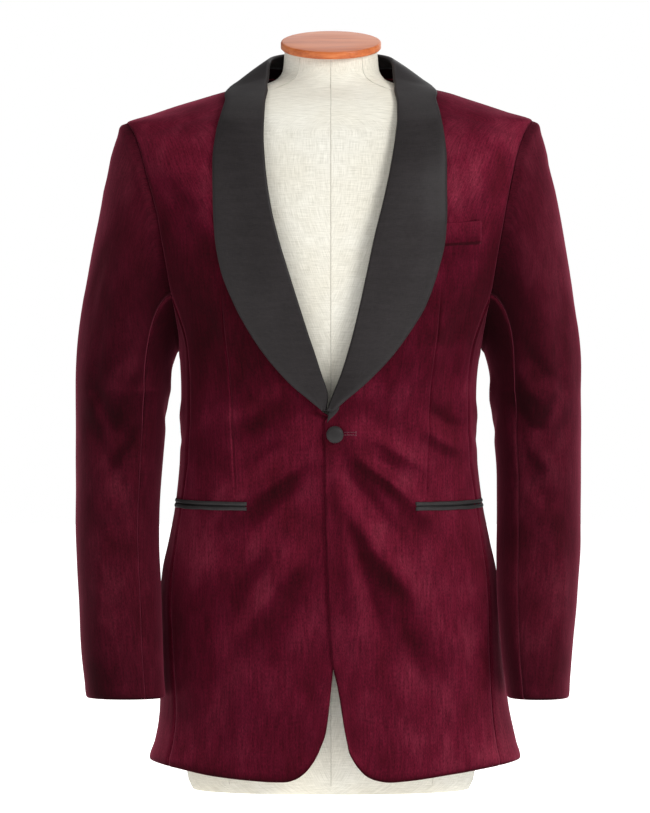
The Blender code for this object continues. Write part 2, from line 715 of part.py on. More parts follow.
def make_jacket(collection):
    """Make the jacket's cut pieces on both sides."""
    for side, word in ((1, "left"), (-1, "right")):
        turned = side < 0
        place, rows = front_place(side)
        cloth_piece("front_" + word, collection, (place, FRONT_COLUMNS, rows), VELVET,
                    material("front_" + word, VELVET_COLOUR, 0.9), turned)
        cloth_piece("side_" + word, collection, side_place(side), VELVET,
                    material("side_" + word, VELVET_COLOUR, 0.9), turned)
        place, rows = back_place(side)
        cloth_piece("back_" + word, collection, (place, BACK_COLUMNS, rows), VELVET,
                    material("back_" + word, VELVET_COLOUR, 0.9), turned)
        top = sleeve_place(side, HIND_SEAM_COLUMN, FRONT_SEAM_COLUMN)
        cloth_piece("sleeve_top_" + word, collection, top, VELVET,
                    material("sleeve_top_" + word, VELVET_COLOUR, 0.9), not turned)
        under = sleeve_place(side, FRONT_SEAM_COLUMN, HIND_SEAM_COLUMN + SLEEVE_COLUMNS)
        cloth_piece("sleeve_under_" + word, collection, under, VELVET,
                    material("sleeve_under_" + word, VELVET_COLOUR, 0.9), not turned)
        cloth_piece("collar_" + word, collection, collar_place(side), SATIN,
                    material("collar_" + word, SATIN_COLOUR, 0.35), turned)
        for level, foot in (("upper", JET_SLIT / 2), ("lower", -JET_SLIT / 2 - JET_HEIGHT)):
            name = "hip_jet_" + level + "_" + word
            cloth_piece(name, collection, jet_place(side, POCKET_HEIGHT + foot), JET_WALL,
                        material(name, SATIN_COLOUR, 0.35), turned)
    cloth_piece("breast_welt", collection, (welt_place, WELT_STEPS, 1), WELT_WALL,
                material("breast_welt", VELVET_COLOUR, 0.9), False)


def make_button(collection):
    """Make the covered button, a flat dome that lies on the left front."""
    azimuth = front_azimuth(BUTTON_ACROSS, BUTTON_HEIGHT)
    seat = front_point(1, azimuth, BUTTON_HEIGHT, TRIM_GAP + BUTTON_HALF_THICKNESS)
    outward = (front_point(1, azimuth, BUTTON_HEIGHT, 1.0) - seat).normalized()
    shape = bmesh.new()
    bmesh.ops.create_uvsphere(shape, u_segments=20, v_segments=8, radius=BUTTON_RADIUS)
    squash = Matrix.Diagonal((1.0, 1.0, BUTTON_HALF_THICKNESS / BUTTON_RADIUS, 1.0))
    turn = outward.to_track_quat("Z", "Y").to_matrix().to_4x4()
    bmesh.ops.transform(shape, matrix=Matrix.Translation(seat) @ turn @ squash, verts=shape.verts)
    mesh = bpy.data.meshes.new("button_front")
    shape.to_mesh(mesh)
    shape.free()
    mesh.shade_smooth()
    mesh.materials.append(material("button_front", SATIN_COLOUR, 0.4))
    collection.objects.link(bpy.data.objects.new("button_front", mesh))


def form_point(azimuth, height):
    """A point on the dress form, whose neck is cut at a forward tilt."""
    point = ring_point(FORM_RINGS, azimuth, height)
    point.z += point.y * math.tan(NECK_TILT) * ease(TILT_FOOT, FORM_RINGS[-1][0], height)
    return point


def make_form(collection):
    """Make the torso of the form: a grid wrapped round its rings and closed at both ends."""
    rows = len(FORM_RINGS) - 1
    shape = bmesh.new()
    bmesh.ops.create_grid(shape, x_segments=FORM_COLUMNS, y_segments=rows, size=0.5)
    for corner in shape.verts:
        azimuth = 2 * HALF_TURN * (corner.co.x + 0.5)
        row = round((corner.co.y + 0.5) * rows)
        corner.co = form_point(azimuth, FORM_RINGS[row][0])
    bmesh.ops.remove_doubles(shape, verts=shape.verts, dist=0.00001)
    rims = [edge for edge in shape.edges if edge.is_boundary]
    bmesh.ops.holes_fill(shape, edges=rims, sides=FORM_COLUMNS)
    bmesh.ops.recalc_face_normals(shape, faces=shape.faces)
    mesh = bpy.data.meshes.new("form_torso")
    shape.to_mesh(mesh)
    shape.free()
    mesh.shade_smooth()
    mesh.set_sharp_from_angle(angle=math.radians(50))
    mesh.materials.append(material("form_torso", LINEN_COLOUR, 0.9))
    collection.objects.link(bpy.data.objects.new("form_torso", mesh))


def make_cap(collection):
    """Make the wooden cap, a round disc with eased rims on the neck's tilted top."""
    outward = Vector((0.0, -math.sin(NECK_TILT), math.cos(NECK_TILT)))
    middle = Vector((0.0, 0.0, FORM_RINGS[-1][0])) + outward * (TRIM_GAP + CAP_THICKNESS / 2)
    place = Matrix.Translation(middle) @ Matrix.Rotation(NECK_TILT, 4, "X")
    shape = bmesh.new()
    bmesh.ops.create_cone(shape, cap_ends=True, segments=CAP_SEGMENTS, radius1=CAP_RADIUS,
                          radius2=CAP_RADIUS, depth=CAP_THICKNESS, matrix=place)
    rims = [edge for edge in shape.edges if edge.calc_face_angle() > math.radians(60)]
    bmesh.ops.bevel(shape, geom=rims, offset=CAP_EDGE, segments=2, profile=0.5,
                    affect="EDGES", material=-1)
    mesh = bpy.data.meshes.new("form_neck_cap")
    shape.to_mesh(mesh)
    shape.free()
    mesh.shade_smooth()
    mesh.materials.append(material("form_neck_cap", WOOD_COLOUR, 0.45))
    collection.objects.link(bpy.data.objects.new("form_neck_cap", mesh))


def clear_scene():
    """Remove the objects that the scene opens with."""
    for thing in list(bpy.data.objects):
        bpy.data.objects.remove(thing, do_unlink=True)


def main():
    """Build the whole object."""
    clear_scene()
    collection = bpy.data.collections.new("smoking_jacket")
    bpy.context.scene.collection.children.link(collection)
    make_jacket(collection)
    make_button(collection)
    make_form(collection)
    make_cap(collection)


main()
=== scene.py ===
"""Looks of a velvet smoking jacket on its dress form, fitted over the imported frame.

The front faces -Y and the wearer's left is +X. The cloth lies on one surface of level rings,
placed by azimuth and height: azimuth 0 is the centre front, a quarter turn is the side and a
half turn is the centre back. The sizes are those of the part's source, in metres.
"""

import math

import bmesh
import bpy
import numpy as np
from mathutils import Matrix, Vector


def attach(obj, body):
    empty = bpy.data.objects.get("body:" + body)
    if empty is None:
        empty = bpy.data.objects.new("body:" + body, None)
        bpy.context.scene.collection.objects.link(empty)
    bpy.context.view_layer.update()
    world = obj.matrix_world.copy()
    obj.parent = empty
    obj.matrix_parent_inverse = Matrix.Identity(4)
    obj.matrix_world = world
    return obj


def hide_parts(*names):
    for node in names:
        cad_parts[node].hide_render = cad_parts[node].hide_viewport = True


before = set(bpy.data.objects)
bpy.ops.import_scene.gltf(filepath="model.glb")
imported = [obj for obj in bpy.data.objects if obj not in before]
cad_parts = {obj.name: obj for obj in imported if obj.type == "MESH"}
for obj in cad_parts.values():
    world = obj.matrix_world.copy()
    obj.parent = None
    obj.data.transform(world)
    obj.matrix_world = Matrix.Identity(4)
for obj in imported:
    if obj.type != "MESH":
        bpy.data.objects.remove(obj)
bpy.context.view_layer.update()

# Cloth and seams
VELVET = 0.0024
SATIN = 0.0022
WELT_SHELL = 0.0012
TRIM_SHELL = 0.0004
SEAM_GAP = 0.0001
SHOULDER_GAP = 0.0004
QUARTER = math.pi / 2
HALF_TURN = math.pi

# The jacket's level rings, from the hem to the neck
# height, half width, front depth, back depth, squareness
BODY_RINGS = (
    (0.010, 0.2060, 0.1310, 0.1300, 2.25),
    (0.034, 0.2045, 0.1310, 0.1300, 2.25),
    (0.055, 0.1985, 0.1305, 0.1290, 2.25),
    (0.090, 0.1920, 0.1300, 0.1280, 2.25),
    (0.170, 0.1865, 0.1285, 0.1265, 2.25),
    (0.250, 0.1825, 0.1270, 0.1250, 2.30),
    (0.330, 0.1725, 0.1230, 0.1170, 2.30),
    (0.415, 0.1645, 0.1190, 0.1040, 2.30),
    (0.450, 0.1655, 0.1200, 0.1030, 2.30),
    (0.495, 0.1700, 0.1230, 0.1070, 2.35),
    (0.531, 0.1810, 0.1250, 0.1120, 2.40),
    (0.572, 0.1970, 0.1265, 0.1170, 2.40),
    (0.620, 0.2100, 0.1260, 0.1210, 2.40),
    (0.657, 0.2170, 0.1220, 0.1220, 2.40),
    (0.684, 0.2210, 0.1160, 0.1190, 2.40),
    (0.720, 0.2245, 0.1020, 0.1110, 2.30),
    (0.748, 0.2255, 0.0860, 0.0990, 2.20),
    (0.758, 0.1960, 0.0800, 0.0930, 2.20),
    (0.767, 0.1700, 0.0740, 0.0870, 2.20),
    (0.776, 0.1430, 0.0670, 0.0800, 2.20),
    (0.785, 0.1155, 0.0580, 0.0730, 2.20),
    (0.793, 0.0940, 0.0520, 0.0680, 2.20),
    (0.800, 0.0800, 0.0490, 0.0650, 2.20),
    (0.812, 0.0710, 0.0480, 0.0620, 2.20),
    (0.831, 0.0650, 0.0480, 0.0600, 2.20),
)

# The armhole, an oval seen from the side
ARMHOLE_MIDDLE = 0.6215
ARMHOLE_HALF_HEIGHT = 0.1265
ARMHOLE_FRONT = 0.065
ARMHOLE_BACK = 0.068
SIDE_TOP_TURN = math.radians(120)
SIDE_TOP = ARMHOLE_MIDDLE + ARMHOLE_HALF_HEIGHT * math.cos(SIDE_TOP_TURN)

# Seams of the side body, in degrees of azimuth
# height, front seam, back seam
SIDE_SEAMS = (
    (0.020, 61.0, 119.0),
    (0.150, 66.0, 118.0),
    (0.240, 70.0, 118.0),
    (0.320, 73.0, 118.0),
    (0.370, 70.0, 118.0),
    (0.455, 67.0, 118.0),
)

# The front edges below the lapels, each measured to its own side of the middle
# height, left edge, right edge
FRONT_EDGES = (
    (0.050, 0.0200, 0.0135),
    (0.070, 0.0134, 0.0060),
    (0.094, 0.0100, 0.0025),
    (0.116, 0.0067, 0.0003),
    (0.147, 0.0011, -0.0030),
    (0.200, -0.0020, -0.0070),
    (0.265, -0.0049, -0.0100),
    (0.352, -0.0067, -0.0120),
    (0.418, -0.0070, -0.0125),
)

# The front hems, from the rounded corner to the side
# distance from the middle, left height, right height
FRONT_HEMS = (
    (0.0135, 0.0690, 0.0500),
    (0.0200, 0.0500, 0.0380),
    (0.0290, 0.0337, 0.0265),
    (0.0400, 0.0225, 0.0190),
    (0.0520, 0.0175, 0.0160),
    (0.0650, 0.0156, 0.0160),
    (0.0850, 0.0168, 0.0170),
    (0.1300, 0.0225, 0.0210),
    (0.1720, 0.0290, 0.0280),
    (0.2060, 0.0345, 0.0335),
)
BACK_HEM = 0.0330

# The roll lines and outer edges of the lapels, each measured to its own side of the middle
# height, left roll, left edge, right roll, right edge
LAPELS = (
    (0.430, -0.0015, 0.0040, 0.0055, 0.0110),
    (0.437, 0.0010, 0.0115, 0.0040, 0.0190),
    (0.445, 0.0035, 0.0205, 0.0030, 0.0285),
    (0.455, 0.0062, 0.0325, 0.0048, 0.0405),
    (0.468, 0.0100, 0.0465, 0.0095, 0.0535),
    (0.490, 0.0170, 0.0670, 0.0165, 0.0720),
    (0.515, 0.0240, 0.0855, 0.0250, 0.0890),
    (0.548, 0.0318, 0.1053, 0.0355, 0.1070),
    (0.588, 0.0405, 0.1190, 0.0480, 0.1225),
    (0.624, 0.0480, 0.1262, 0.0588, 0.1288),
    (0.664, 0.0580, 0.1285, 0.0678, 0.1310),
    (0.706, 0.0668, 0.1285, 0.0732, 0.1316),
    (0.738, 0.0718, 0.1252, 0.0750, 0.1278),
    (0.758, 0.0738, 0.1212, 0.0744, 0.1225),
    (0.772, 0.0738, 0.1172, 0.0736, 0.1180),
)
LAPEL_FOOT = LAPELS[0][0]
LAPEL_NOTCH = 0.004
LEFT_ROLL, LEFT_EDGE, RIGHT_ROLL, RIGHT_EDGE = 1, 2, 3, 4

# The collar over the shoulder and round the back neck, angles in degrees of azimuth
# roll angle, roll height, edge angle, edge height, stand depth
NECK_ROWS = (
    (37.0, 0.7860, 60.0, 0.7785, 0.0015),
    (58.0, 0.7990, 78.0, 0.7840, 0.0025),
    (74.0, 0.8100, 88.0, 0.7853, 0.0070),
    (90.0, 0.8185, 97.0, 0.7853, 0.0120),
    (108.0, 0.8235, 108.0, 0.7830, 0.0160),
    (126.0, 0.8265, 124.0, 0.7790, 0.0190),
    (144.0, 0.8285, 142.0, 0.7745, 0.0210),
    (162.0, 0.8295, 161.0, 0.7710, 0.0220),
    (180.0, 0.8300, 180.0, 0.7695, 0.0220),
)
LAPEL_STAND = 0.0015
# The collar's halves end short of the centre back; the roll has to turn back further
BACK_CLOSING = (0.94, 1.0)
ROLL_CLOSING = 2.2
ROLL_RADIUS = 0.0030
FALL_HEIGHT = 0.0034
FALL_PUFF = 0.0014
ROLL_ROOM = 0.0055

# The left front laps over the right one at the middle
LAP_LIFT = VELVET + 0.0010
LAP_INNER = 0.022
LAP_OUTER = 0.060
LAP_LOW = 0.440
LAP_HIGH = 0.475

# The largest folds of the fronts, seen from the front, +X to the wearer's left
# start across, start height, end across, end height, half width, rise
FRONT_FOLDS = (
    (0.034, 0.392, 0.098, 0.322, 0.0130, 0.0034),
    (0.030, 0.366, 0.074, 0.262, 0.0150, 0.0022),
    (0.060, 0.262, 0.110, 0.190, 0.0220, 0.0028),
    (-0.036, 0.392, -0.100, 0.330, 0.0140, 0.0034),
    (-0.030, 0.356, -0.070, 0.270, 0.0160, 0.0020),
    (-0.060, 0.232, -0.100, 0.120, 0.0240, 0.0026),
)

# The sleeves' level rings, from the cuff to the upper arm, each measured to its own side
# height, middle across, middle along, half width, half depth
LEFT_SLEEVE = (
    (0.1070, 0.2315, -0.0600, 0.0345, 0.0540),
    (0.1580, 0.2300, -0.0540, 0.0400, 0.0560),
    (0.2170, 0.2305, -0.0400, 0.0450, 0.0580),
    (0.2800, 0.2325, -0.0200, 0.0475, 0.0615),
    (0.3500, 0.2330, -0.0080, 0.0480, 0.0660),
    (0.4100, 0.2310, 0.0000, 0.0500, 0.0700),
    (0.4500, 0.2295, 0.0010, 0.0505, 0.0725),
)
RIGHT_SLEEVE = (
    (0.1070, 0.2285, -0.0600, 0.0445, 0.0500),
    (0.1580, 0.2325, -0.0540, 0.0460, 0.0530),
    (0.2170, 0.2348, -0.0400, 0.0462, 0.0570),
    (0.2970, 0.2382, -0.0180, 0.0472, 0.0620),
    (0.3500, 0.2370, -0.0080, 0.0487, 0.0660),
    (0.4100, 0.2345, 0.0000, 0.0512, 0.0700),
    (0.4500, 0.2328, 0.0010, 0.0525, 0.0725),
)
SLEEVE_SQUARENESS = 2.15
ARMHOLE_GAP = 0.0006
CROWN_GAP = 0.0012
CROWN_RISE = 0.070
CROWN_RISE_CHANGE = 0.050
CROWN_LEAVE_SIDE = 0.030
CROWN_LEAVE_TOP = 0.0165
CROWN_LEAVE_UNDER = 0.006
CROWN_FORWARD = 0.010
CROWN_DROP_SIDE = 0.020
CROWN_DROP_TOP = 0.0107
CROWN_DROP_UNDER = 0.018

# The largest folds of the sleeves: angle round the arm in degrees, outwards 0 and front 90
# start angle, start height, end angle, end height, half width, rise
SLEEVE_FOLDS = (
    (50.0, 0.462, 80.0, 0.412, 0.0120, -0.0030),
    (60.0, 0.400, 95.0, 0.345, 0.0150, -0.0024),
    (120.0, 0.430, 95.0, 0.360, 0.0140, -0.0026),
    (-60.0, 0.430, -90.0, 0.380, 0.0160, -0.0026),
)

# Pockets and button
JET_LENGTH = 0.145
JET_START = 0.0930
JET_HEIGHT = 0.0040
JET_SLIT = 0.0015
JET_WALL = 0.0012
POCKET_HEIGHT = 0.3230
WELT_START = 0.0900
WELT_END = 0.1670
WELT_FOOT = 0.6110
WELT_HEIGHT = 0.0260
WELT_SLOPE = 0.055
WELT_WALL = 0.0016
TRIM_GAP = 0.0007
WELT_LIFT = 0.0022
WELT_LIFT_SPAN = 0.034
BUTTON_RADIUS = 0.0095
BUTTON_HALF_THICKNESS = 0.0030
BUTTON_ACROSS = 0.0043
BUTTON_HEIGHT = 0.4035

# The dress form, from its base to its neck
# height, half width, front depth, back depth, squareness
FORM_RINGS = (
    (0.0000, 0.1560, 0.0980, 0.0960, 2.3),
    (0.0060, 0.1600, 0.1020, 0.1000, 2.3),
    (0.0600, 0.1670, 0.1090, 0.1080, 2.3),
    (0.1500, 0.1700, 0.1130, 0.1120, 2.3),
    (0.2400, 0.1660, 0.1120, 0.1100, 2.3),
    (0.3200, 0.1550, 0.1070, 0.1000, 2.3),
    (0.4150, 0.1430, 0.1010, 0.0870, 2.3),
    (0.4900, 0.1480, 0.1050, 0.0900, 2.3),
    (0.5700, 0.1590, 0.1110, 0.1000, 2.3),
    (0.6400, 0.1700, 0.1100, 0.1070, 2.3),
    (0.6900, 0.1800, 0.1020, 0.1040, 2.3),
    (0.7250, 0.1890, 0.0900, 0.0960, 2.2),
    (0.7430, 0.1950, 0.0800, 0.0890, 2.2),
    (0.7520, 0.1940, 0.0750, 0.0850, 2.2),
    (0.7580, 0.1868, 0.0725, 0.0830, 2.2),
    (0.7670, 0.1606, 0.0675, 0.0790, 2.2),
    (0.7760, 0.1336, 0.0610, 0.0720, 2.2),
    (0.7850, 0.1060, 0.0520, 0.0640, 2.2),
    (0.7930, 0.0760, 0.0470, 0.0560, 2.1),
    (0.8000, 0.0600, 0.0460, 0.0500, 2.0),
    (0.8100, 0.0540, 0.0460, 0.0470, 2.0),
    (0.8330, 0.0520, 0.0460, 0.0460, 2.0),
)
NECK_TILT = math.radians(13.0)
TILT_FOOT = 0.800
CAP_RADIUS = 0.0565
CAP_THICKNESS = 0.0085
CAP_EDGE = 0.0022

# Further sizes of the finer pieces
SIDE_FOOT = 0.470
SHOULDER_TOP = 0.800
SHOULDER_END = 0.748
SHOULDER_WINDOW = 0.020
SHOULDER_WEIGHTS = ((-1.0, 0.12), (-0.6, 0.18), (-0.2, 0.20), (0.2, 0.20), (0.6, 0.18), (1.0, 0.12))
ARM_RADIUS = 0.066
SLEEVE_SEAM_TURN = 0.0020
FRONT_SEAM = math.radians(120)
HIND_SEAM = math.radians(-135)
FRONT_COLUMNS = 40
BACK_COLUMNS = 72
TOP_SLEEVE_COLUMNS = 102
UNDER_SLEEVE_COLUMNS = 42
CROWN_ROWS = 34
# The roped sleeve head: rise, distance from the armhole, width
ROPE = (0.0021, 0.0075, 0.006)
NECK_STEPS = 9
STAND_STEPS = 5
ROLL_STEPS = 14
FALL_STEPS = 34
LAPEL_BREAK = 0.0004
JET_COLUMNS = 90
JET_ROWS = 10
MOUTH_COLUMNS = 41
WELT_COLUMNS = 48
WELT_ROWS = 26
BUTTON_STEPS = 64
HOLE_START = 0.0146
HOLE_END = 0.0273
HOLE_HEIGHT = 0.4046
HOLE_HALF_HEIGHT = 0.0015
HOLE_BAR_HALF_HEIGHT = 0.0024
HOLE_STITCHES = 20
HOLE_BAR_STITCHES = 5
FORM_COLUMNS = 112
FORM_SEAMS = (0.0, 42.0, 138.0, 180.0, 222.0, 318.0)
FORM_SEAM_SIDES = 6
FORM_SEAM_RADIUS = 0.0005
CAP_STEPS = 96
JOIN_DISTANCE = 0.00001
# Heights between which the form's shoulders turn in to its neck
FORM_SHOULDERS = (0.740, 0.812)

# Shares of a crease's length over which it grows and fades, and its strength at its ends
CREASE_START = (0.0, 0.35)
CREASE_END = (0.55, 1.0)
CREASE_LEAST = 0.15

# Creases seen from the front, +X to the wearer's left
# half width, rise, then the places it runs through: across, height
FRONT_CREASES = (
    (0.0085, 0.0036, (-0.018, 0.385), (-0.047, 0.359), (-0.082, 0.328), (-0.100, 0.313)),
    (0.0125, -0.0036, (-0.024, 0.356), (-0.052, 0.328), (-0.080, 0.296), (-0.104, 0.264)),
    (0.0080, -0.0030, (-0.046, 0.398), (-0.073, 0.373), (-0.098, 0.346)),
    (0.0160, 0.0040, (-0.014, 0.306), (-0.042, 0.258), (-0.080, 0.204), (-0.119, 0.150)),
    (0.0120, -0.0030, (-0.058, 0.286), (-0.096, 0.214), (-0.130, 0.150)),
    (0.0110, -0.0022, (-0.012, 0.363), (-0.020, 0.263), (-0.033, 0.160)),
    (0.0140, 0.0024, (-0.130, 0.300), (-0.150, 0.200), (-0.158, 0.090)),
    (0.0130, -0.0022, (-0.106, 0.190), (-0.124, 0.120), (-0.128, 0.060)),
    (0.0130, 0.0024, (-0.040, 0.466), (-0.080, 0.424), (-0.130, 0.406)),
    (0.0120, -0.0020, (-0.150, 0.560), (-0.128, 0.500), (-0.122, 0.440)),
    (0.0100, 0.0020, (-0.158, 0.540), (-0.150, 0.470), (-0.152, 0.400)),
    (0.0120, -0.0020, (-0.196, 0.700), (-0.170, 0.660), (-0.158, 0.610)),
    (0.0150, 0.0018, (-0.120, 0.690), (-0.136, 0.640), (-0.132, 0.580)),
    (0.0072, 0.0034, (0.026, 0.410), (0.056, 0.396), (0.088, 0.374), (0.110, 0.362)),
    (0.0066, -0.0029, (0.034, 0.385), (0.068, 0.363), (0.102, 0.336)),
    (0.0066, 0.0032, (0.020, 0.388), (0.046, 0.366), (0.066, 0.351), (0.090, 0.326)),
    (0.0105, -0.0040, (0.012, 0.370), (0.040, 0.333), (0.070, 0.290), (0.092, 0.250)),
    (0.0100, 0.0040, (0.008, 0.350), (0.034, 0.298), (0.064, 0.252), (0.100, 0.214)),
    (0.0085, -0.0032, (0.018, 0.312), (0.034, 0.256), (0.048, 0.206), (0.066, 0.150)),
    (0.0085, 0.0026, (0.004, 0.392), (0.010, 0.330), (0.019, 0.256), (0.026, 0.180)),
    (0.0080, 0.0026, (0.100, 0.414), (0.122, 0.396), (0.148, 0.380)),
    (0.0080, -0.0022, (0.106, 0.436), (0.128, 0.414), (0.150, 0.404)),
    (0.0150, 0.0026, (0.104, 0.300), (0.136, 0.210), (0.150, 0.090)),
    (0.0110, -0.0022, (0.132, 0.280), (0.150, 0.170), (0.164, 0.070)),
    (0.0120, -0.0020, (0.080, 0.190), (0.100, 0.130), (0.110, 0.070)),
    (0.0110, 0.0022, (0.150, 0.530), (0.146, 0.460), (0.150, 0.390)),
    (0.0110, -0.0022, (0.162, 0.560), (0.134, 0.500), (0.130, 0.430)),
    (0.0120, -0.0022, (0.198, 0.705), (0.172, 0.655), (0.162, 0.600)),
    (0.0150, 0.0018, (0.126, 0.700), (0.140, 0.650), (0.138, 0.590)),
)

# Creases of the backs, seen from the front
BACK_CREASES = (
    (0.0130, 0.0029, (-0.150, 0.425), (-0.090, 0.402), (-0.030, 0.398), (0.030, 0.404)),
    (0.0085, -0.0023, (-0.140, 0.400), (-0.080, 0.382), (-0.020, 0.380)),
    (0.0120, 0.0026, (0.152, 0.432), (0.100, 0.412), (0.040, 0.386), (-0.012, 0.376)),
    (0.0090, -0.0021, (0.146, 0.412), (0.095, 0.388), (0.045, 0.366)),
    (0.0160, 0.0026, (-0.150, 0.640), (-0.128, 0.560), (-0.120, 0.480)),
    (0.0120, -0.0021, (-0.128, 0.650), (-0.106, 0.580), (-0.100, 0.500)),
    (0.0150, 0.0025, (0.154, 0.630), (0.134, 0.570), (0.124, 0.490)),
    (0.0110, -0.0020, (0.130, 0.640), (0.110, 0.560), (0.106, 0.510)),
    (0.0100, -0.0018, (-0.070, 0.766), (-0.030, 0.752), (0.012, 0.750)),
    (0.0100, -0.0016, (0.076, 0.764), (0.040, 0.748), (0.004, 0.738)),
    (0.0180, 0.0029, (-0.060, 0.330), (-0.072, 0.210), (-0.080, 0.060)),
    (0.0140, -0.0023, (-0.100, 0.310), (-0.112, 0.190), (-0.116, 0.060)),
    (0.0190, 0.0026, (0.050, 0.320), (0.064, 0.200), (0.078, 0.050)),
    (0.0130, -0.0022, (0.094, 0.330), (0.104, 0.220), (0.112, 0.070)),
    (0.0130, 0.0016, (0.140, 0.300), (0.146, 0.180), (0.150, 0.070)),
)

# Creases of the side bodies: forwards, height
SIDE_CREASES = (
    (0.0090, 0.0016, (0.040, 0.440), (0.005, 0.420), (-0.035, 0.424)),
    (0.0080, -0.0016, (0.045, 0.404), (0.010, 0.392), (-0.030, 0.398)),
    (0.0120, 0.0018, (0.010, 0.330), (0.004, 0.210), (-0.008, 0.080)),
    (0.0090, -0.0014, (-0.022, 0.300), (-0.028, 0.190), (-0.034, 0.070)),
)

# Creases of the sleeves: along the arm's round from outwards, forwards first, then height
LEFT_SLEEVE_CREASES = (
    (0.0110, -0.0019, (0.120, 0.505), (0.096, 0.470), (0.060, 0.452)),
    (0.0100, 0.0018, (0.138, 0.486), (0.112, 0.448), (0.078, 0.424)),
    (0.0090, -0.0018, (0.140, 0.440), (0.112, 0.410), (0.084, 0.400)),
    (0.0110, 0.0018, (0.132, 0.404), (0.104, 0.374), (0.070, 0.360)),
    (0.0100, -0.0015, (0.126, 0.356), (0.098, 0.330), (0.066, 0.324)),
    (0.0130, 0.0022, (0.020, 0.560), (0.014, 0.500), (0.022, 0.430)),
    (0.0110, -0.0019, (0.052, 0.600), (0.046, 0.540), (0.058, 0.490)),
    (0.0120, 0.0018, (0.082, 0.300), (0.064, 0.240), (0.060, 0.170)),
    (0.0090, -0.0018, (0.110, 0.290), (0.094, 0.230), (0.084, 0.160)),
    (0.0130, 0.0024, (-0.060, 0.470), (-0.096, 0.440), (-0.128, 0.436)),
    (0.0100, -0.0024, (-0.058, 0.430), (-0.094, 0.404), (-0.130, 0.410)),
    (0.0120, 0.0020, (-0.050, 0.392), (-0.090, 0.366), (-0.126, 0.368)),
    (0.0120, -0.0016, (-0.090, 0.320), (-0.100, 0.250), (-0.096, 0.180)),
    (0.0110, 0.0022, (-0.236, 0.470), (-0.212, 0.440), (-0.180, 0.432)),
    (0.0090, -0.0020, (-0.240, 0.430), (-0.210, 0.404), (-0.176, 0.400)),
    (0.0080, -0.0016, (-0.022, 0.700), (0.000, 0.694), (0.024, 0.700)),
)
RIGHT_SLEEVE_CREASES = (
    (0.0120, 0.0019, (0.132, 0.492), (0.112, 0.464), (0.092, 0.414)),
    (0.0095, -0.0013, (0.150, 0.520), (0.136, 0.468), (0.110, 0.420)),
    (0.0100, -0.0011, (0.098, 0.500), (0.076, 0.450), (0.070, 0.400)),
    (0.0110, 0.0013, (0.138, 0.430), (0.116, 0.396), (0.086, 0.366)),
    (0.0105, -0.0012, (0.130, 0.400), (0.104, 0.366), (0.076, 0.340)),
    (0.0120, 0.0015, (0.120, 0.344), (0.096, 0.316), (0.070, 0.300)),
    (0.0140, 0.0020, (0.018, 0.590), (0.010, 0.520), (0.020, 0.440)),
    (0.0110, -0.0019, (0.050, 0.620), (0.042, 0.560), (0.050, 0.500)),
    (0.0120, 0.0019, (0.088, 0.290), (0.074, 0.230), (0.070, 0.160)),
    (0.0090, -0.0016, (0.114, 0.270), (0.100, 0.210), (0.096, 0.150)),
    (0.0130, 0.0023, (-0.056, 0.480), (-0.092, 0.450), (-0.126, 0.448)),
    (0.0100, -0.0023, (-0.056, 0.442), (-0.090, 0.418), (-0.128, 0.420)),
    (0.0120, 0.0019, (-0.052, 0.400), (-0.088, 0.378), (-0.124, 0.380)),
    (0.0110, -0.0016, (-0.088, 0.330), (-0.096, 0.260), (-0.092, 0.190)),
    (0.0110, 0.0020, (-0.234, 0.480), (-0.210, 0.452), (-0.178, 0.446)),
    (0.0090, -0.0019, (-0.238, 0.442), (-0.208, 0.418), (-0.176, 0.412)),
    (0.0080, -0.0016, (-0.024, 0.698), (0.000, 0.692), (0.022, 0.699)),
)

# Colours
VELVET_DEEP = (0.030, 0.0006, 0.0036)
VELVET_MIDDLE = (0.044, 0.0011, 0.0064)
VELVET_LIGHT = (0.064, 0.0028, 0.0112)
VELVET_SHEEN = 0.30
# Painted shade: the sleeves' velvet is a darker copy of the body's, its colours multiplied by this
SLEEVE_PAINTED_SHADE = 0.50
# Painted light and shade: velvet whose surface faces up is painted paler, and velvet facing down
# darker, as if lit from above
PAINTED_LIGHT_DIRECTION = (0.10, -0.05, 1.0)
PAINTED_LIGHT_TONES = (
    (0.34, (0.36, 0.20, 0.26)),
    (0.45, (0.62, 0.45, 0.52)),
    (0.505, (1.0, 1.0, 1.0)),
    (0.56, (1.65, 3.20, 1.90)),
    (0.66, (2.20, 5.00, 2.60)),
    (0.90, (1.50, 2.60, 1.70)),
)
VELVET_SHEEN_TINT = (0.95, 0.15, 0.27, 1.0)
# Each satin's darkest and lightest threads, and its sheen; the pocket slit's near-black strip is
# painted shade
COLLAR_SATIN = ((0.0093, 0.0074, 0.0075), (0.0212, 0.0176, 0.0182), 0.02)
TRIM_SATIN = ((0.012, 0.0105, 0.0105), (0.026, 0.023, 0.023), 0.06)
SLIT_PAINTED_SHADE = ((0.002, 0.002, 0.002), (0.004, 0.003, 0.003), 0.0)
ROSE_THREAD = (0.16, 0.021, 0.047)
CREAM_THREAD = (0.70, 0.67, 0.58)
LINEN_SHADE = (0.62, 0.60, 0.52)
LINEN_LIGHT = (0.83, 0.81, 0.73)
WOOD_DARK = (0.36, 0.070, 0.014)
WOOD_MIDDLE = (0.54, 0.138, 0.033)
WOOD_LIGHT = (0.65, 0.212, 0.066)
FLOOR_GLOW = 1.0

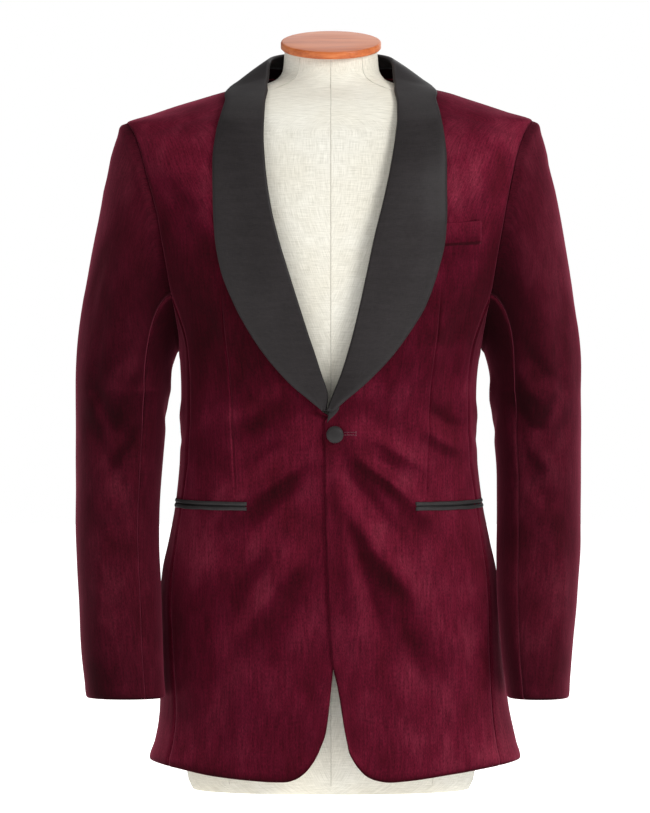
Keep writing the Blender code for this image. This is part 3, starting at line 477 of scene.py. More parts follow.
# How the worn jacket hangs: rises of the shoulders, and shifts outwards at each height
SHOULDER_RISES = (0.0044, 0.0018)
SHOULDER_RISE_ACROSS = (0.090, 0.140)
SHOULDER_RISE_HEIGHTS = (0.640, 0.745)
SHOULDER_SPREAD_ACROSS = (0.13, 0.20)
SKIRT_SPREAD_SHARES = (0.55, 1.0)
LEFT_SHOULDER_SPREAD = ((0.640, 0.0), (0.700, 0.0), (0.745, 0.0010))
RIGHT_SHOULDER_SPREAD = ((0.650, 0.0), (0.682, 0.0020), (0.705, 0.0034), (0.745, 0.0042))
LEFT_SKIRT_SPREAD = (
    (0.030, 0.0090), (0.060, 0.0098), (0.111, 0.0080), (0.145, 0.0066), (0.179, 0.0054),
    (0.212, 0.0044), (0.246, 0.0020), (0.279, -0.0016), (0.330, -0.0034), (0.363, -0.0030),
    (0.400, 0.0), (0.464, -0.0014), (0.520, 0.0),
)
RIGHT_SKIRT_SPREAD = (
    (0.030, 0.0), (0.060, 0.0), (0.111, 0.0020), (0.145, 0.0044), (0.179, 0.0064),
    (0.212, 0.0072), (0.246, 0.0056), (0.279, 0.0026), (0.330, 0.0012), (0.363, 0.0024),
    (0.400, 0.0050), (0.440, 0.0040), (0.520, 0.0),
)
RIGHT_SLEEVE_SPREAD = ((0.100, 0.0016), (0.300, 0.0022), (0.440, 0.0022), (0.530, 0.0))
LEFT_SLEEVE_SPREAD = ((0.100, 0.0008), (0.300, 0.0012), (0.440, 0.0012), (0.530, 0.0))

# The satin edging: the left lapel narrows to a point on the front's edge above the button
EDGING_LEFT = ((0.4170, -0.0046), (0.4350, -0.0014))
EDGING_WIDTH = 0.0106
EDGING_STEPS = (36, 14)

# Above the button the left lapel's roll crosses over the right one
LAPEL_CROSSING = 0.0034
CROSSING_HEIGHTS = (0.437, 0.476)


def read(table, column, at):
    """Read a column of a table at values of its first column, on a smooth curve."""
    known = np.array([row[0] for row in table])
    values = np.array([row[column] for row in table])
    at = np.clip(at, known[0], known[-1])
    slopes = np.diff(values) / np.diff(known)
    before = np.concatenate((slopes[:1], slopes))
    after = np.concatenate((slopes, slopes[-1:]))
    same_way = before * after > 0
    meeting = np.where(same_way, 2 * before * after / np.where(same_way, before + after, 1), 0)
    index = np.clip(np.searchsorted(known, at, side="right") - 1, 0, len(known) - 2)
    span = known[index + 1] - known[index]
    t = (at - known[index]) / span
    start, end = meeting[index] * span, meeting[index + 1] * span
    return (values[index] * (2 * t**3 - 3 * t**2 + 1) + start * (t**3 - 2 * t**2 + t)
            + values[index + 1] * (3 * t**2 - 2 * t**3) + end * (t**3 - t**2))


def ease(low, high, at):
    """Go smoothly from 0 at low to 1 at high."""
    t = np.clip((at - low) / (high - low), 0.0, 1.0)
    return t * t * (3 - 2 * t)


def power(value, exponent):
    """Raise values to a power and keep their signs."""
    return np.sign(value) * np.abs(value) ** exponent


def gather(across, along, height):
    """Join three sets of coordinates into places."""
    return np.stack(np.broadcast_arrays(across, along, height), axis=-1).astype(float)


def length_of(vectors):
    """Lengths of vectors, ready to divide them."""
    return np.linalg.norm(vectors, axis=-1, keepdims=True) + 1e-12


def ring_place(rings, azimuth, height):
    """Places on a body of level rings."""
    half_width, front, back, squareness = (read(rings, c, height) for c in (1, 2, 3, 4))
    depth = np.where(np.cos(azimuth) > 0, front, back)
    across = half_width * power(np.sin(azimuth), 2 / squareness)
    along = -depth * power(np.cos(azimuth), 2 / squareness)
    return gather(across, along, height)


def front_azimuth(across, height):
    """Azimuth of the front point that lies at a distance across."""
    half_width, squareness = read(BODY_RINGS, 1, height), read(BODY_RINGS, 4, height)
    share = np.minimum(np.abs(across) / half_width, 1.0)
    return np.copysign(np.arcsin(share ** (squareness / 2)), across)


def fold_rise(folds, across, height):
    """Rise of a table of straight folds, fading at each fold's ends."""
    rise = 0.0
    for x0, z0, x1, z1, half_width, top in folds:
        length = math.hypot(x1 - x0, z1 - z0)
        along = ((across - x0) * (x1 - x0) + (height - z0) * (z1 - z0)) / length
        off = ((across - x0) * (z1 - z0) - (height - z0) * (x1 - x0)) / length
        past = np.maximum(np.maximum(-along, along - length), 0.0) / (2 * half_width)
        rise = rise + top * np.exp(-((off / half_width) ** 2) - past**2)
    return rise


def crease_rise(creases, across, height):
    """Rise of listed creases: each runs along its own points and fades at both ends."""
    rise = np.zeros(np.broadcast(across, height).shape)
    for half_width, top, *points in creases:
        nearest = np.full(rise.shape, np.inf)
        along_nearest = np.zeros(rise.shape)
        run = 0.0
        for (x0, z0), (x1, z1) in zip(points[:-1], points[1:]):
            length = math.hypot(x1 - x0, z1 - z0)
            along = ((across - x0) * (x1 - x0) + (height - z0) * (z1 - z0)) / length
            along = np.clip(along, 0.0, length)
            off = np.hypot(across - x0 - along * (x1 - x0) / length,
                           height - z0 - along * (z1 - z0) / length)
            closer = off < nearest
            nearest = np.where(closer, off, nearest)
            along_nearest = np.where(closer, run + along, along_nearest)
            run += length
        share = along_nearest / run
        fade = ease(*CREASE_START, share) * (1 - ease(*CREASE_END, share))
        strength = CREASE_LEAST + (1 - CREASE_LEAST) * fade
        rise += top * np.exp(-((nearest / half_width) ** 2)) * strength
    return rise


def body_normal(azimuth, height):
    """Outward normals of the jacket's outer surface."""
    step = 0.002
    side_step = ring_place(BODY_RINGS, azimuth + step, height)
    side_step -= ring_place(BODY_RINGS, azimuth - step, height)
    up_step = ring_place(BODY_RINGS, azimuth, height + step / 2)
    up_step -= ring_place(BODY_RINGS, azimuth, height - step / 2)
    normal = np.cross(side_step, up_step)
    return normal / length_of(normal)


def body_place(azimuth, height, out=0.0):
    """Places on the jacket's outer surface, moved out along its normal."""
    place = ring_place(BODY_RINGS, azimuth, height)
    folds = fold_rise(FRONT_FOLDS, place[..., 0], place[..., 2])
    lifted = out + np.where(np.cos(azimuth) > 0, folds, 0.0)
    return place + body_normal(azimuth, height) * np.asarray(lifted)[..., None]


def depth_at(across, height, forwards):
    """Depth of the body's surface in front or behind, at a distance across."""
    half_width, squareness = read(BODY_RINGS, 1, height), read(BODY_RINGS, 4, height)
    share = np.clip(across / half_width, 0.0, 1.0)
    depth = read(BODY_RINGS, 2 if forwards > 0 else 3, height)
    return depth * (1 - share**squareness) ** (1 / squareness)


def soften_shoulder(places, forwards):
    """Round the turn from the chest or back to the sloping shoulder; the seam line stays."""
    across, height = np.abs(places[..., 0]), places[..., 2]
    heights = np.linspace(SHOULDER_END, BODY_RINGS[-1][0], 80)
    crest = np.interp(across, read(BODY_RINGS, 1, heights)[::-1], heights[::-1])
    window = np.clip(crest - height - 0.0015, 0.0, SHOULDER_WINDOW) * ease(0.67, 0.71, height)
    before = depth_at(across, height, forwards)
    after = sum(weight * depth_at(across, height + step * window, forwards)
                for step, weight in SHOULDER_WEIGHTS)
    places = places.copy()
    places[..., 1] += (before - after) * forwards
    return places


def lap(side, across, height):
    """How far the left front is raised where it laps over the right one."""
    if side < 0:
        return np.zeros(np.broadcast(across, height).shape)
    sideways = 1 - ease(LAP_INNER, LAP_OUTER, across * side)
    return LAP_LIFT * sideways * (1 - ease(LAP_LOW, LAP_HIGH, height))


def front_place(side, azimuth, height, out=0.0):
    """Places on a front, with the left front's lap."""
    across = ring_place(BODY_RINGS, azimuth, height)[..., 0]
    return body_place(azimuth, height, out + lap(side, across, height))


def seam_turn(azimuth, height, gap):
    """Turn in azimuth that moves a place along its ring by a gap."""
    step = 0.004
    ahead = ring_place(BODY_RINGS, azimuth + step, height)
    behind = ring_place(BODY_RINGS, azimuth - step, height)
    return gap * 2 * step / length_of(ahead - behind)[..., 0]


def armhole_azimuth(turn):
    """Azimuth and height of the armhole at a turn from its top, forwards first."""
    height = ARMHOLE_MIDDLE + ARMHOLE_HALF_HEIGHT * np.cos(turn)
    front, back, squareness = (read(BODY_RINGS, c, height) for c in (2, 3, 4))
    forwards = np.clip(ARMHOLE_FRONT * np.sin(turn) / front, 0, 1)
    backwards = np.clip(-ARMHOLE_BACK * np.sin(turn) / back, 0, 1)
    ahead = np.arccos(forwards ** (squareness / 2))
    behind = HALF_TURN - np.arccos(backwards ** (squareness / 2))
    return np.where(np.sin(turn) >= 0, ahead, behind), height


def armhole_at(height, forwards):
    """Azimuth of the front or back half of the armhole at a height."""
    share = (height - ARMHOLE_MIDDLE) / ARMHOLE_HALF_HEIGHT
    return armhole_azimuth(np.arccos(np.clip(share, -1.0, 1.0)) * forwards)[0]


def side_seam(height, forwards):
    """Azimuth of the side body's front or back seam."""
    top = np.degrees(armhole_at(SIDE_TOP, forwards))
    column = 1 if forwards > 0 else 2
    return np.radians(read(SIDE_SEAMS + ((SIDE_TOP, top, top),), column, height))


def outer_azimuth(height, forwards):
    """Azimuth where a front or back ends: at its side seam, armhole or shoulder seam."""
    at_armhole = armhole_at(height, forwards)
    azimuth = np.where(height < SIDE_TOP, side_seam(height, forwards), at_armhole)
    return np.where(height < ARMHOLE_MIDDLE + ARMHOLE_HALF_HEIGHT, azimuth, QUARTER)


def hem_height(side, azimuth):
    """Height of the hem at an azimuth."""
    across = np.abs(ring_place(BODY_RINGS, azimuth, BACK_HEM)[..., 0])
    front_hem = read(FRONT_HEMS, 1 if side > 0 else 2, across)
    return front_hem + (BACK_HEM - front_hem) * ease(QUARTER, QUARTER * 1.2, azimuth)


def front_edge(side, height):
    """Distance of a front's edge from the middle, to its own side."""
    below = read(FRONT_EDGES, 1 if side > 0 else 2, height)
    above = read(LAPELS, LEFT_ROLL if side > 0 else RIGHT_ROLL, height) + ROLL_ROOM
    return below + (above - below) * ease(LAPEL_FOOT - 3 * LAPEL_NOTCH, LAPEL_FOOT, height)


def seam_gap_at(height):
    """Half the gap of a seam: none at the armhole, where the sleeve leaves it."""
    at_shoulder = height > ARMHOLE_MIDDLE + ARMHOLE_HALF_HEIGHT - 0.0001
    above = np.where(at_shoulder, SHOULDER_GAP / 2, 0.0)
    return np.where(height < SIDE_TOP + 0.0001, SEAM_GAP / 2, above)


def by_side(left, left_table, right_table, height):
    """Read the left table where the cloth is on the left, and the right one elsewhere."""
    return np.where(left, read(left_table, 1, height), read(right_table, 1, height))


def as_worn(places, sleeve=False):
    """Shift finished cloth to how it hangs: shoulders, hips and hem, or a sleeve's arm."""
    across, height = places[..., 0], places[..., 2]
    left, off = across > 0, np.abs(across)
    rise = np.where(left, *SHOULDER_RISES)
    rise = rise * ease(*SHOULDER_RISE_ACROSS, off) * ease(*SHOULDER_RISE_HEIGHTS, height)
    spread = by_side(left, LEFT_SHOULDER_SPREAD, RIGHT_SHOULDER_SPREAD, height)
    spread = spread * ease(*SHOULDER_SPREAD_ACROSS, off)
    if sleeve:
        spread = spread + by_side(left, LEFT_SLEEVE_SPREAD, RIGHT_SLEEVE_SPREAD, height)
    else:
        hang = by_side(left, LEFT_SKIRT_SPREAD, RIGHT_SKIRT_SPREAD, height)
        spread = spread + hang * ease(*SKIRT_SPREAD_SHARES, off / read(BODY_RINGS, 1, height))
    return places + gather(np.sign(across) * spread, 0.0, rise)


# The finer grids of the visible cloth
ROW_STEP = 0.004
SHOULDER_STEP = 0.0013
HEM_TOP = 0.170
HEM_SHARES = (0.0, 0.008, 0.02, 0.038, 0.065, 0.10, 0.14, 0.19, 0.25, 0.31, 0.38, 0.45, 0.52,
              0.60, 0.68, 0.76, 0.84, 0.92)
TURN_STEPS = 48
# How cloth rolls in at its edges: depth, the span over which it does, and how sharply
EDGE_ROLL = (0.0013, 0.0036, 1.5)
HEM_ROLL = (0.0008, 0.0022, 2)
SLEEVE_ROLL = (0.0006, 0.0042, 1.5)
WELT_END_ROLL = (0.0011, 0.0028, 1)
WELT_TOP_ROLL = (0.0007, 0.0016, 2)
WELT_FOOT_ROLL = (0.0012, 0.0030, 1)
# Cloth is padded out by its seam allowance or its turned-up hem: rise, place and width
SEAM_PUFF = (0.0004, 0.0065, 0.004)
HEM_PUFF = (0.0004, 0.007, 0.006)
ROW_SAMPLES = 161
SLOW_WAVE = 0.00045
QUICK_WAVE = 0.00022
DART_DEPTH = 0.0016
DART_HALF_WIDTH = 0.0011
DART_PUFF = 0.0005
DART_TOPS = (0.530, 0.578)
DART_FEET = (0.3335, 0.3375)
# The dart's line and the front's grain, height and distance from the middle
DART_LINE = (
    (0.3330, 0.1070),
    (0.3826, 0.1086),
    (0.4475, 0.1114),
    (0.5180, 0.1200),
    (0.5800, 0.1240),
)


def even_steps(low, high, step):
    """Values from low to high in even steps no longer than a given one."""
    return np.linspace(low, high, max(2, math.ceil((high - low) / step) + 1))


def armhole_rows():
    """Heights of the rows that meet the sleeve's columns, from the side body to the shoulder."""
    turns = np.linspace(SIDE_TOP_TURN, 0.0, TURN_STEPS + 1)
    return ARMHOLE_MIDDLE + ARMHOLE_HALF_HEIGHT * np.cos(turns)


def body_rows(with_shoulder):
    """Heights of a body piece's rows above the hem, the hem's top row first."""
    below = even_steps(HEM_TOP, SIDE_FOOT, ROW_STEP)
    rows = [below, even_steps(SIDE_FOOT, SIDE_TOP, ROW_STEP)[1:]]
    if with_shoulder:
        top = ARMHOLE_MIDDLE + ARMHOLE_HALF_HEIGHT
        rows += [armhole_rows()[1:], even_steps(top, SHOULDER_TOP, SHOULDER_STEP)[1:]]
    return np.concatenate(rows)


def column_heights(rows, hem):
    """Heights of all rows where the hem is at one height."""
    return np.concatenate((hem + (HEM_TOP - hem) * np.array(HEM_SHARES), rows))


def grid_heights(side, rows, azimuths):
    """Heights over a grid of azimuths, whose lower rows follow the hem."""
    shares = np.array(HEM_SHARES)[:, None]
    hem = hem_height(side, azimuths[:len(shares)])
    above = np.broadcast_to(rows[:, None], (len(rows), azimuths.shape[1]))
    return np.concatenate((hem + (HEM_TOP - hem) * shares, above))


def crowd_ends(steps, strength=0.8):
    """Shares from 0 to 1 that lie closer together near both ends."""
    share = np.linspace(0.0, 1.0, steps + 1)
    return share - strength * np.sin(2 * math.pi * share) / (2 * math.pi)


def even_out(start, end, shares, place_at):
    """Azimuths at shares of the way along each row from start to end, measured on the cloth."""
    samples = np.linspace(0.0, 1.0, ROW_SAMPLES)
    azimuths = start[:, None] + (end - start)[:, None] * samples
    places = place_at(azimuths)
    steps = np.linalg.norm(np.diff(places, axis=1), axis=-1)
    run = np.concatenate((np.zeros((len(start), 1)), np.cumsum(steps, axis=1)), axis=1)
    run /= run[:, -1:]
    return np.array([np.interp(shares, way, row) for way, row in zip(run, azimuths)])


def normals_of(places, facing):
    """Outward normals of a grid of places."""
    across = np.gradient(places, axis=1)
    up = np.gradient(places, axis=0)
    normal = np.cross(across, up) * facing
    return normal / length_of(normal)


def run_along(places, axis):
    """Distance run along a grid's rows or columns from their start."""
    steps = np.linalg.norm(np.diff(places, axis=axis), axis=-1)
    still = np.zeros_like(np.take(steps, [0], axis=axis))
    return np.concatenate((still, np.cumsum(steps, axis=axis)), axis=axis)


def puff(distance, rise, place, width):
    """A soft ridge along an edge, at a place from it."""
    return rise * np.exp(-(((distance - place) / width) ** 2))


def rolled_in(distance, depth, span, power):
    """How deep cloth rolls in at its edge."""
    return depth * (1 - ease(0.0, span, distance)) ** power


def edge_shape(distance, kind):
    """How far cloth moves out near an edge: a seam turns in, a hem is softly rounded."""
    if kind == "seam":
        return puff(distance, *SEAM_PUFF) - rolled_in(distance, *EDGE_ROLL)
    if kind == "sleeve":
        return -rolled_in(distance, *SLEEVE_ROLL)
    if kind == "hem":
        return puff(distance, *HEM_PUFF) - rolled_in(distance, *HEM_ROLL)
    return 0.0


def shape_edges(places, normals, edges):
    """Roll a grid's borders, each as its kind says: first column, last column, foot and top."""
    across, up = run_along(places, 1), run_along(places, 0)
    distances = (across, across[:, -1:] - across, up, up[-1:] - up)
    out = sum(edge_shape(distance, kind) for distance, kind in zip(distances, edges))
    return places + normals * np.asarray(out)[..., None]


def lay_grid(name, places, facing, finish):
    """Make a mesh grid with its corners at given places, and a map in the cloth's own sizes."""
    rows, columns = places.shape[0] - 1, places.shape[1] - 1
    shape = bmesh.new()
    bmesh.ops.create_grid(shape, x_segments=columns, y_segments=rows, size=0.5)
    if facing < 0:
        bmesh.ops.reverse_faces(shape, faces=shape.faces)
    mesh = bpy.data.meshes.new(name)
    shape.to_mesh(mesh)
    shape.free()
    flat = np.empty(len(mesh.vertices) * 3)
    mesh.vertices.foreach_get("co", flat)
    flat = flat.reshape(-1, 3)
    column = np.rint((flat[:, 0] + 0.5) * columns).astype(int)
    row = np.rint((flat[:, 1] + 0.5) * rows).astype(int)
    mesh.vertices.foreach_set("co", places[row, column].ravel())
    middle = columns // 2
    across, up = run_along(places, 1), run_along(places, 0)
    sizes = np.stack((across - across[:, [middle]], np.broadcast_to(up[:, [middle]], up.shape)), -1)
    corner_of_loop = np.empty(len(mesh.loops), dtype=int)
    mesh.loops.foreach_get("vertex_index", corner_of_loop)
    cloth_map = mesh.uv_layers.new(name="cloth")
    cloth_map.data.foreach_set("uv", sizes[row, column][corner_of_loop].ravel())
    mesh.shade_smooth()
    for look in finish:
        mesh.materials.append(look)
    piece = bpy.data.objects.new(name, mesh)
    bpy.context.scene.collection.objects.link(piece)
    return piece


def give_wall(piece, thickness):
    """Thicken cloth inwards; its inner face takes the second finish."""
    wall = piece.modifiers.new("wall", "SOLIDIFY")
    wall.thickness = thickness
    wall.offset = -1.0
    wall.use_even_offset = True
    wall.material_offset = 1
    wall.thickness_clamp = 1.0
    return piece


def waves(across, height, seed):
    """Low unevenness of hanging cloth, in metres, the same on each run."""
    slow = np.sin(across * 31 + seed) * np.sin(height * 23 + 1.7 * seed)
    quick = np.sin(across * 67 + height * 29 + 2.3 * seed) * np.sin(height * 51 - seed)
    return SLOW_WAVE * slow + QUICK_WAVE * quick


def dart_groove(across, height):
    """Depth of the front's dart: a stitched fold line that runs out at both ends."""
    off = (across - read(DART_LINE, 1, height)) / DART_HALF_WIDTH
    ends = ease(*DART_FEET, height) * (1 - ease(*DART_TOPS, height))
    return -DART_DEPTH * np.exp(-off**2) * ends + DART_PUFF * np.exp(-(off / 5) ** 2) * ends


def front_places(side):
    """Places of a front: from its edge to its seam, and from its hem to the neck."""
    rows = body_rows(True)
    at_edge = column_heights(rows, FRONT_EDGES[0][0])
    at_seam = column_heights(rows, hem_height(side, side_seam(BACK_HEM, 1)))
    start = front_azimuth(side * front_edge(side, at_edge), at_edge) * side
    end = outer_azimuth(at_seam, 1)
    end = end - seam_turn(end - 0.01, at_seam, seam_gap_at(at_seam))
    dart = front_azimuth(read(DART_LINE, 1, at_seam), at_seam)
    middle = (start + end) / 2
    dart = dart + (middle - dart) * ease(0.60, 0.71, at_seam)

    def place_at(azimuths):
        return front_place(side, azimuths * side, grid_heights(side, rows, azimuths))

    inner = even_out(start, dart, crowd_ends(FRONT_COLUMNS), place_at)
    outer = even_out(dart, end, crowd_ends(FRONT_COLUMNS), place_at)
    azimuths = np.concatenate((inner, outer[:, 1:]), axis=1)
    places = place_at(azimuths)
    across, height = places[..., 0], places[..., 2]
    out = crease_rise(FRONT_CREASES, across, height) + waves(across, height, side)
    clear = ease(0.0, 0.012, run_along(places, 1)) * ease(0.0, 0.02, run_along(places, 0))
    out = out * clear + dart_groove(np.abs(across), height)
    normals = body_normal(azimuths * side, height)
    places = soften_shoulder(places + normals * out[..., None], 1)
    return shape_edges(places, normals, ("hem", "seam", "hem", ""))


def back_places(side):
    """Places of a back: from its side seam to the centre back, and from hem to neck."""
    rows = body_rows(True)
    heights = column_heights(rows, BACK_HEM)
    start = outer_azimuth(heights, -1)
    start = start + seam_turn(start + 0.01, heights, seam_gap_at(heights))
    end = HALF_TURN - seam_turn(HALF_TURN - 0.02 + 0 * heights, heights, SEAM_GAP / 2)

    def place_at(azimuths):
        return body_place(azimuths * side, grid_heights(side, rows, azimuths))

    azimuths = even_out(start, end, crowd_ends(BACK_COLUMNS), place_at)
    places = place_at(azimuths)
    across, height = places[..., 0], places[..., 2]
    out = crease_rise(BACK_CREASES, across, height) + waves(across, height, 4 + side)
    normals = body_normal(azimuths * side, height)
    places = soften_shoulder(places + normals * out[..., None], -1)
    return shape_edges(places, normals, ("seam", "seam", "hem", ""))


def side_places(side):
    """Places of a side body: between its seams, and from the hem to the underarm."""
    rows = body_rows(False)
    turns = np.linspace(SIDE_TOP_TURN, 2 * HALF_TURN - SIDE_TOP_TURN, TURN_STEPS + 1)
    top_azimuths, tops = armhole_azimuth(turns)
    shares = (top_azimuths - top_azimuths[0]) / (top_azimuths[-1] - top_azimuths[0])
    heights = column_heights(rows, hem_height(side, side_seam(BACK_HEM, 1)))
    start = side_seam(heights, 1)
    start = start + seam_turn(start, heights, SEAM_GAP / 2)
    heights = column_heights(rows, BACK_HEM)
    end = side_seam(heights, -1)
    end = end - seam_turn(end, heights, SEAM_GAP / 2)
    azimuths = start[:, None] + (end - start)[:, None] * shares
    heights = grid_heights(side, rows, azimuths)
    rise = np.clip((heights - SIDE_FOOT) / (SIDE_TOP - SIDE_FOOT), 0.0, 1.0)
    heights = np.where(heights > SIDE_FOOT, SIDE_FOOT + (tops - SIDE_FOOT) * rise, heights)
    places = body_place(azimuths * side, heights)
    along = -places[..., 1]
    out = crease_rise(SIDE_CREASES, along, places[..., 2]) + waves(along, places[..., 2], 7 + side)
    normals = body_normal(azimuths * side, heights)
    return shape_edges(places + normals * out[..., None], normals,
                       ("seam", "seam", "hem", "seam"))


def sleeve_ring_place(side, turn, height):
    """Places on the arm's level rings, at a turn from outwards, forwards first."""
    rings = LEFT_SLEEVE if side > 0 else RIGHT_SLEEVE
    across, along, half_width, half_depth = (read(rings, c, height) for c in (1, 2, 3, 4))
    rise = 0.0
    for a0, z0, a1, z1, width, top in SLEEVE_FOLDS:
        fold = (math.radians(a0) * ARM_RADIUS, z0, math.radians(a1) * ARM_RADIUS, z1, width, top)
        rise = rise + fold_rise([fold], turn * ARM_RADIUS, height)
    across = across + (half_width + rise) * power(np.cos(turn), 2 / SLEEVE_SQUARENESS)
    along = along - (half_depth + rise) * power(np.sin(turn), 2 / SLEEVE_SQUARENESS)
    return gather(side * across, along, height)


def sleeve_places(side, first, last, steps):
    """Places of a sleeve piece: up the arm, then bent to the armhole, between two turns."""
    rings = LEFT_SLEEVE if side > 0 else RIGHT_SLEEVE
    foot, top = rings[0][0], rings[-1][0]
    turns = np.linspace(first, last, steps + 1)
    turns[0] += SLEEVE_SEAM_TURN
    turns[-1] -= SLEEVE_SEAM_TURN
    run = turns * ARM_RADIUS
    turns = (turns + HALF_TURN) % (2 * HALF_TURN) - HALF_TURN
    cosine, sine = np.cos(turns), np.sin(turns)
    arm_heights = np.concatenate(([foot, foot + 0.0012, foot + 0.0026],
                                  even_steps(foot + 0.0045, top, ROW_STEP)))
    arm = sleeve_ring_place(side, turns[None, :], arm_heights[:, None])
    azimuths, heights = armhole_azimuth(turns)
    gap = ARMHOLE_GAP + CROWN_GAP * np.maximum(cosine, 0.0) ** 2
    end = body_place(azimuths * side, heights) + gather(side * gap, 0.0, 0.0)
    start = arm[-1]
    leave_end = np.where(cosine > 0, CROWN_LEAVE_TOP, CROWN_LEAVE_UNDER)
    drop_end = np.where(cosine > 0, CROWN_DROP_TOP, CROWN_DROP_UNDER)
    leave = gather(side * (CROWN_LEAVE_SIDE * sine**2 + leave_end * cosine**2),
                   -CROWN_FORWARD * sine,
                   -(CROWN_DROP_SIDE * sine**2 + drop_end * cosine**2))
    rise = gather(0.0, 0.0, CROWN_RISE + CROWN_RISE_CHANGE * cosine)
    t = crowd_ends(CROWN_ROWS, 0.7)[1:, None, None]
    crown = (start * (1 - t) ** 3 + (start + rise) * (3 * t * (1 - t) ** 2)
             + (end + leave) * (3 * t**2 * (1 - t)) + end * t**3)
    places = np.concatenate((arm, crown))
    creases = LEFT_SLEEVE_CREASES if side > 0 else RIGHT_SLEEVE_CREASES
    out = crease_rise(creases, run, places[..., 2])
    out = out + crease_rise(creases, run - 2 * HALF_TURN * ARM_RADIUS, places[..., 2])
    out = out + waves(places[..., 1], places[..., 2], 10 + side)
    to_armhole = np.linalg.norm(places - places[-1:], axis=-1)
    rope = puff(to_armhole, *ROPE) * np.maximum(cosine, 0.0)
    normals = normals_of(places, -side)
    out = out * ease(0.0, 0.03, to_armhole) + rope
    places = shape_edges(places + normals * out[..., None], normals,
                         ("sleeve", "sleeve", "hem", ""))
    tuck = (gap + EDGE_ROLL[0] * 0.9) * (1 - ease(0.0, 0.005, to_armhole))
    places[..., 0] -= side * tuck
    return places


def collar_lines(side):
    """The collar's roll and outer edge, row by row: azimuths, heights and the stand's depth."""
    roll, edge = (LEFT_ROLL, LEFT_EDGE) if side > 0 else (RIGHT_ROLL, RIGHT_EDGE)
    heights = even_steps(LAPEL_FOOT, LAPELS[-1][0], ROW_STEP)
    starts = front_azimuth(read(LAPELS, roll, heights), heights)
    ends = front_azimuth(read(LAPELS, edge, heights), heights)
    lapel = np.stack((starts, heights, ends, heights, np.full_like(heights, LAPEL_STAND)), -1)
    table = [(-1.0, *lapel[-5]), (0.0, *lapel[-1])]
    for index, (start, start_height, end, end_height, stand) in enumerate(NECK_ROWS):
        row = (math.radians(start), start_height, math.radians(end), end_height, stand)
        table.append((index + 1.0, *row))
    steps = np.linspace(0.0, len(NECK_ROWS), len(NECK_ROWS) * NECK_STEPS + 1)[1:]
    neck = np.stack([read(table, column, steps) for column in range(1, 6)], -1)
    gap = float(seam_turn(HALF_TURN - 0.02, neck[-1, 3], SEAM_GAP / 2))
    neck[:, 0] -= gap * ROLL_CLOSING * ease(*BACK_CLOSING, neck[:, 0] / HALF_TURN)
    neck[:, 2] -= gap * ease(*BACK_CLOSING, neck[:, 2] / HALF_TURN)
    return np.concatenate((lapel, neck)).T


def welt_lift(side, height, share):
    """How far the left lapel is raised where it lies over the end of the breast welt."""
    if side < 0:
        return 0.0
    off = (height - WELT_FOOT - WELT_HEIGHT / 2) / WELT_LIFT_SPAN
    return WELT_LIFT * np.exp(-off**4) * ease(0.3, 0.7, share)


def collar_places(side):
    """Places of the collar: stand, roll and fall, from the lapel's foot to the centre back."""
    start, start_height, end, end_height, stand = (line[:, None] for line in collar_lines(side))
    roll = front_place(side, start * side, start_height)
    edge = front_place(side, end * side, end_height)
    outward = front_place(side, start * side, start_height, 1.0) - roll
    edge_out = front_place(side, end * side, end_height, 1.0) - edge
    width = length_of(edge - roll)
    along = (edge - roll) / width
    outward = outward - along * np.sum(outward * along, axis=-1, keepdims=True)
    outward = outward / length_of(outward)

    leg = np.linspace(1.0, 0.0, STAND_STEPS + 1)[None, :-1, None]
    under = roll + along * (ROLL_RADIUS + stand[..., None] * leg) - outward * ROLL_RADIUS
    turn = np.linspace(-QUARTER, QUARTER, ROLL_STEPS + 1)[None, :, None]
    bend = roll + (along * (1 - np.cos(turn)) + outward * np.sin(turn)) * ROLL_RADIUS

    share = np.linspace(0.0, 1.0, FALL_STEPS + 1)[None, 1:]
    share = share + 0.7 * np.sin(2 * math.pi * share) / (2 * math.pi) * ease(0.5, 0.7, share)
    reach = (ROLL_RADIUS + (width[..., 0] - ROLL_RADIUS) * share) / width[..., 0]
    chord = roll + along * (width[..., 0] * reach)[..., None]
    azimuth = (start + (end - start) * reach) * side
    height = start_height + (end_height - start_height) * reach
    surface = front_place(side, azimuth, height)
    facing = outward + (edge_out - outward) * reach[..., None]
    facing = facing / length_of(facing)
    over = np.sum((surface - chord) * facing, axis=-1, keepdims=True)
    base = np.where(over > 0, surface, chord)
    rise = ROLL_RADIUS + (FALL_HEIGHT - ROLL_RADIUS) * share
    rise = rise + FALL_PUFF * np.sin(HALF_TURN * share) + welt_lift(side, start_height, share)
    rise = rise + LAPEL_BREAK * np.sin(HALF_TURN * share) * np.sin(start_height * 46 + side)
    fall = base + facing * rise[..., None]
    places = np.concatenate((under, bend, fall), axis=1)
    if side > 0:
        at_roll = np.concatenate((np.ones(places.shape[1] - FALL_STEPS), 1 - share[0]))
        crossing = LAPEL_CROSSING * (1 - ease(*CROSSING_HEIGHTS, start_height)) * at_roll
        places[..., 0] -= crossing
    return shape_edges(places, normals_of(places, side), ("", "hem", "", "seam"))


def bead_over(share, power):
    """A rounded bead's height over its width, steep at both edges."""
    return np.sin(HALF_TURN * np.clip(share * 0.86 + 0.07, 0.0, 1.0)) ** power


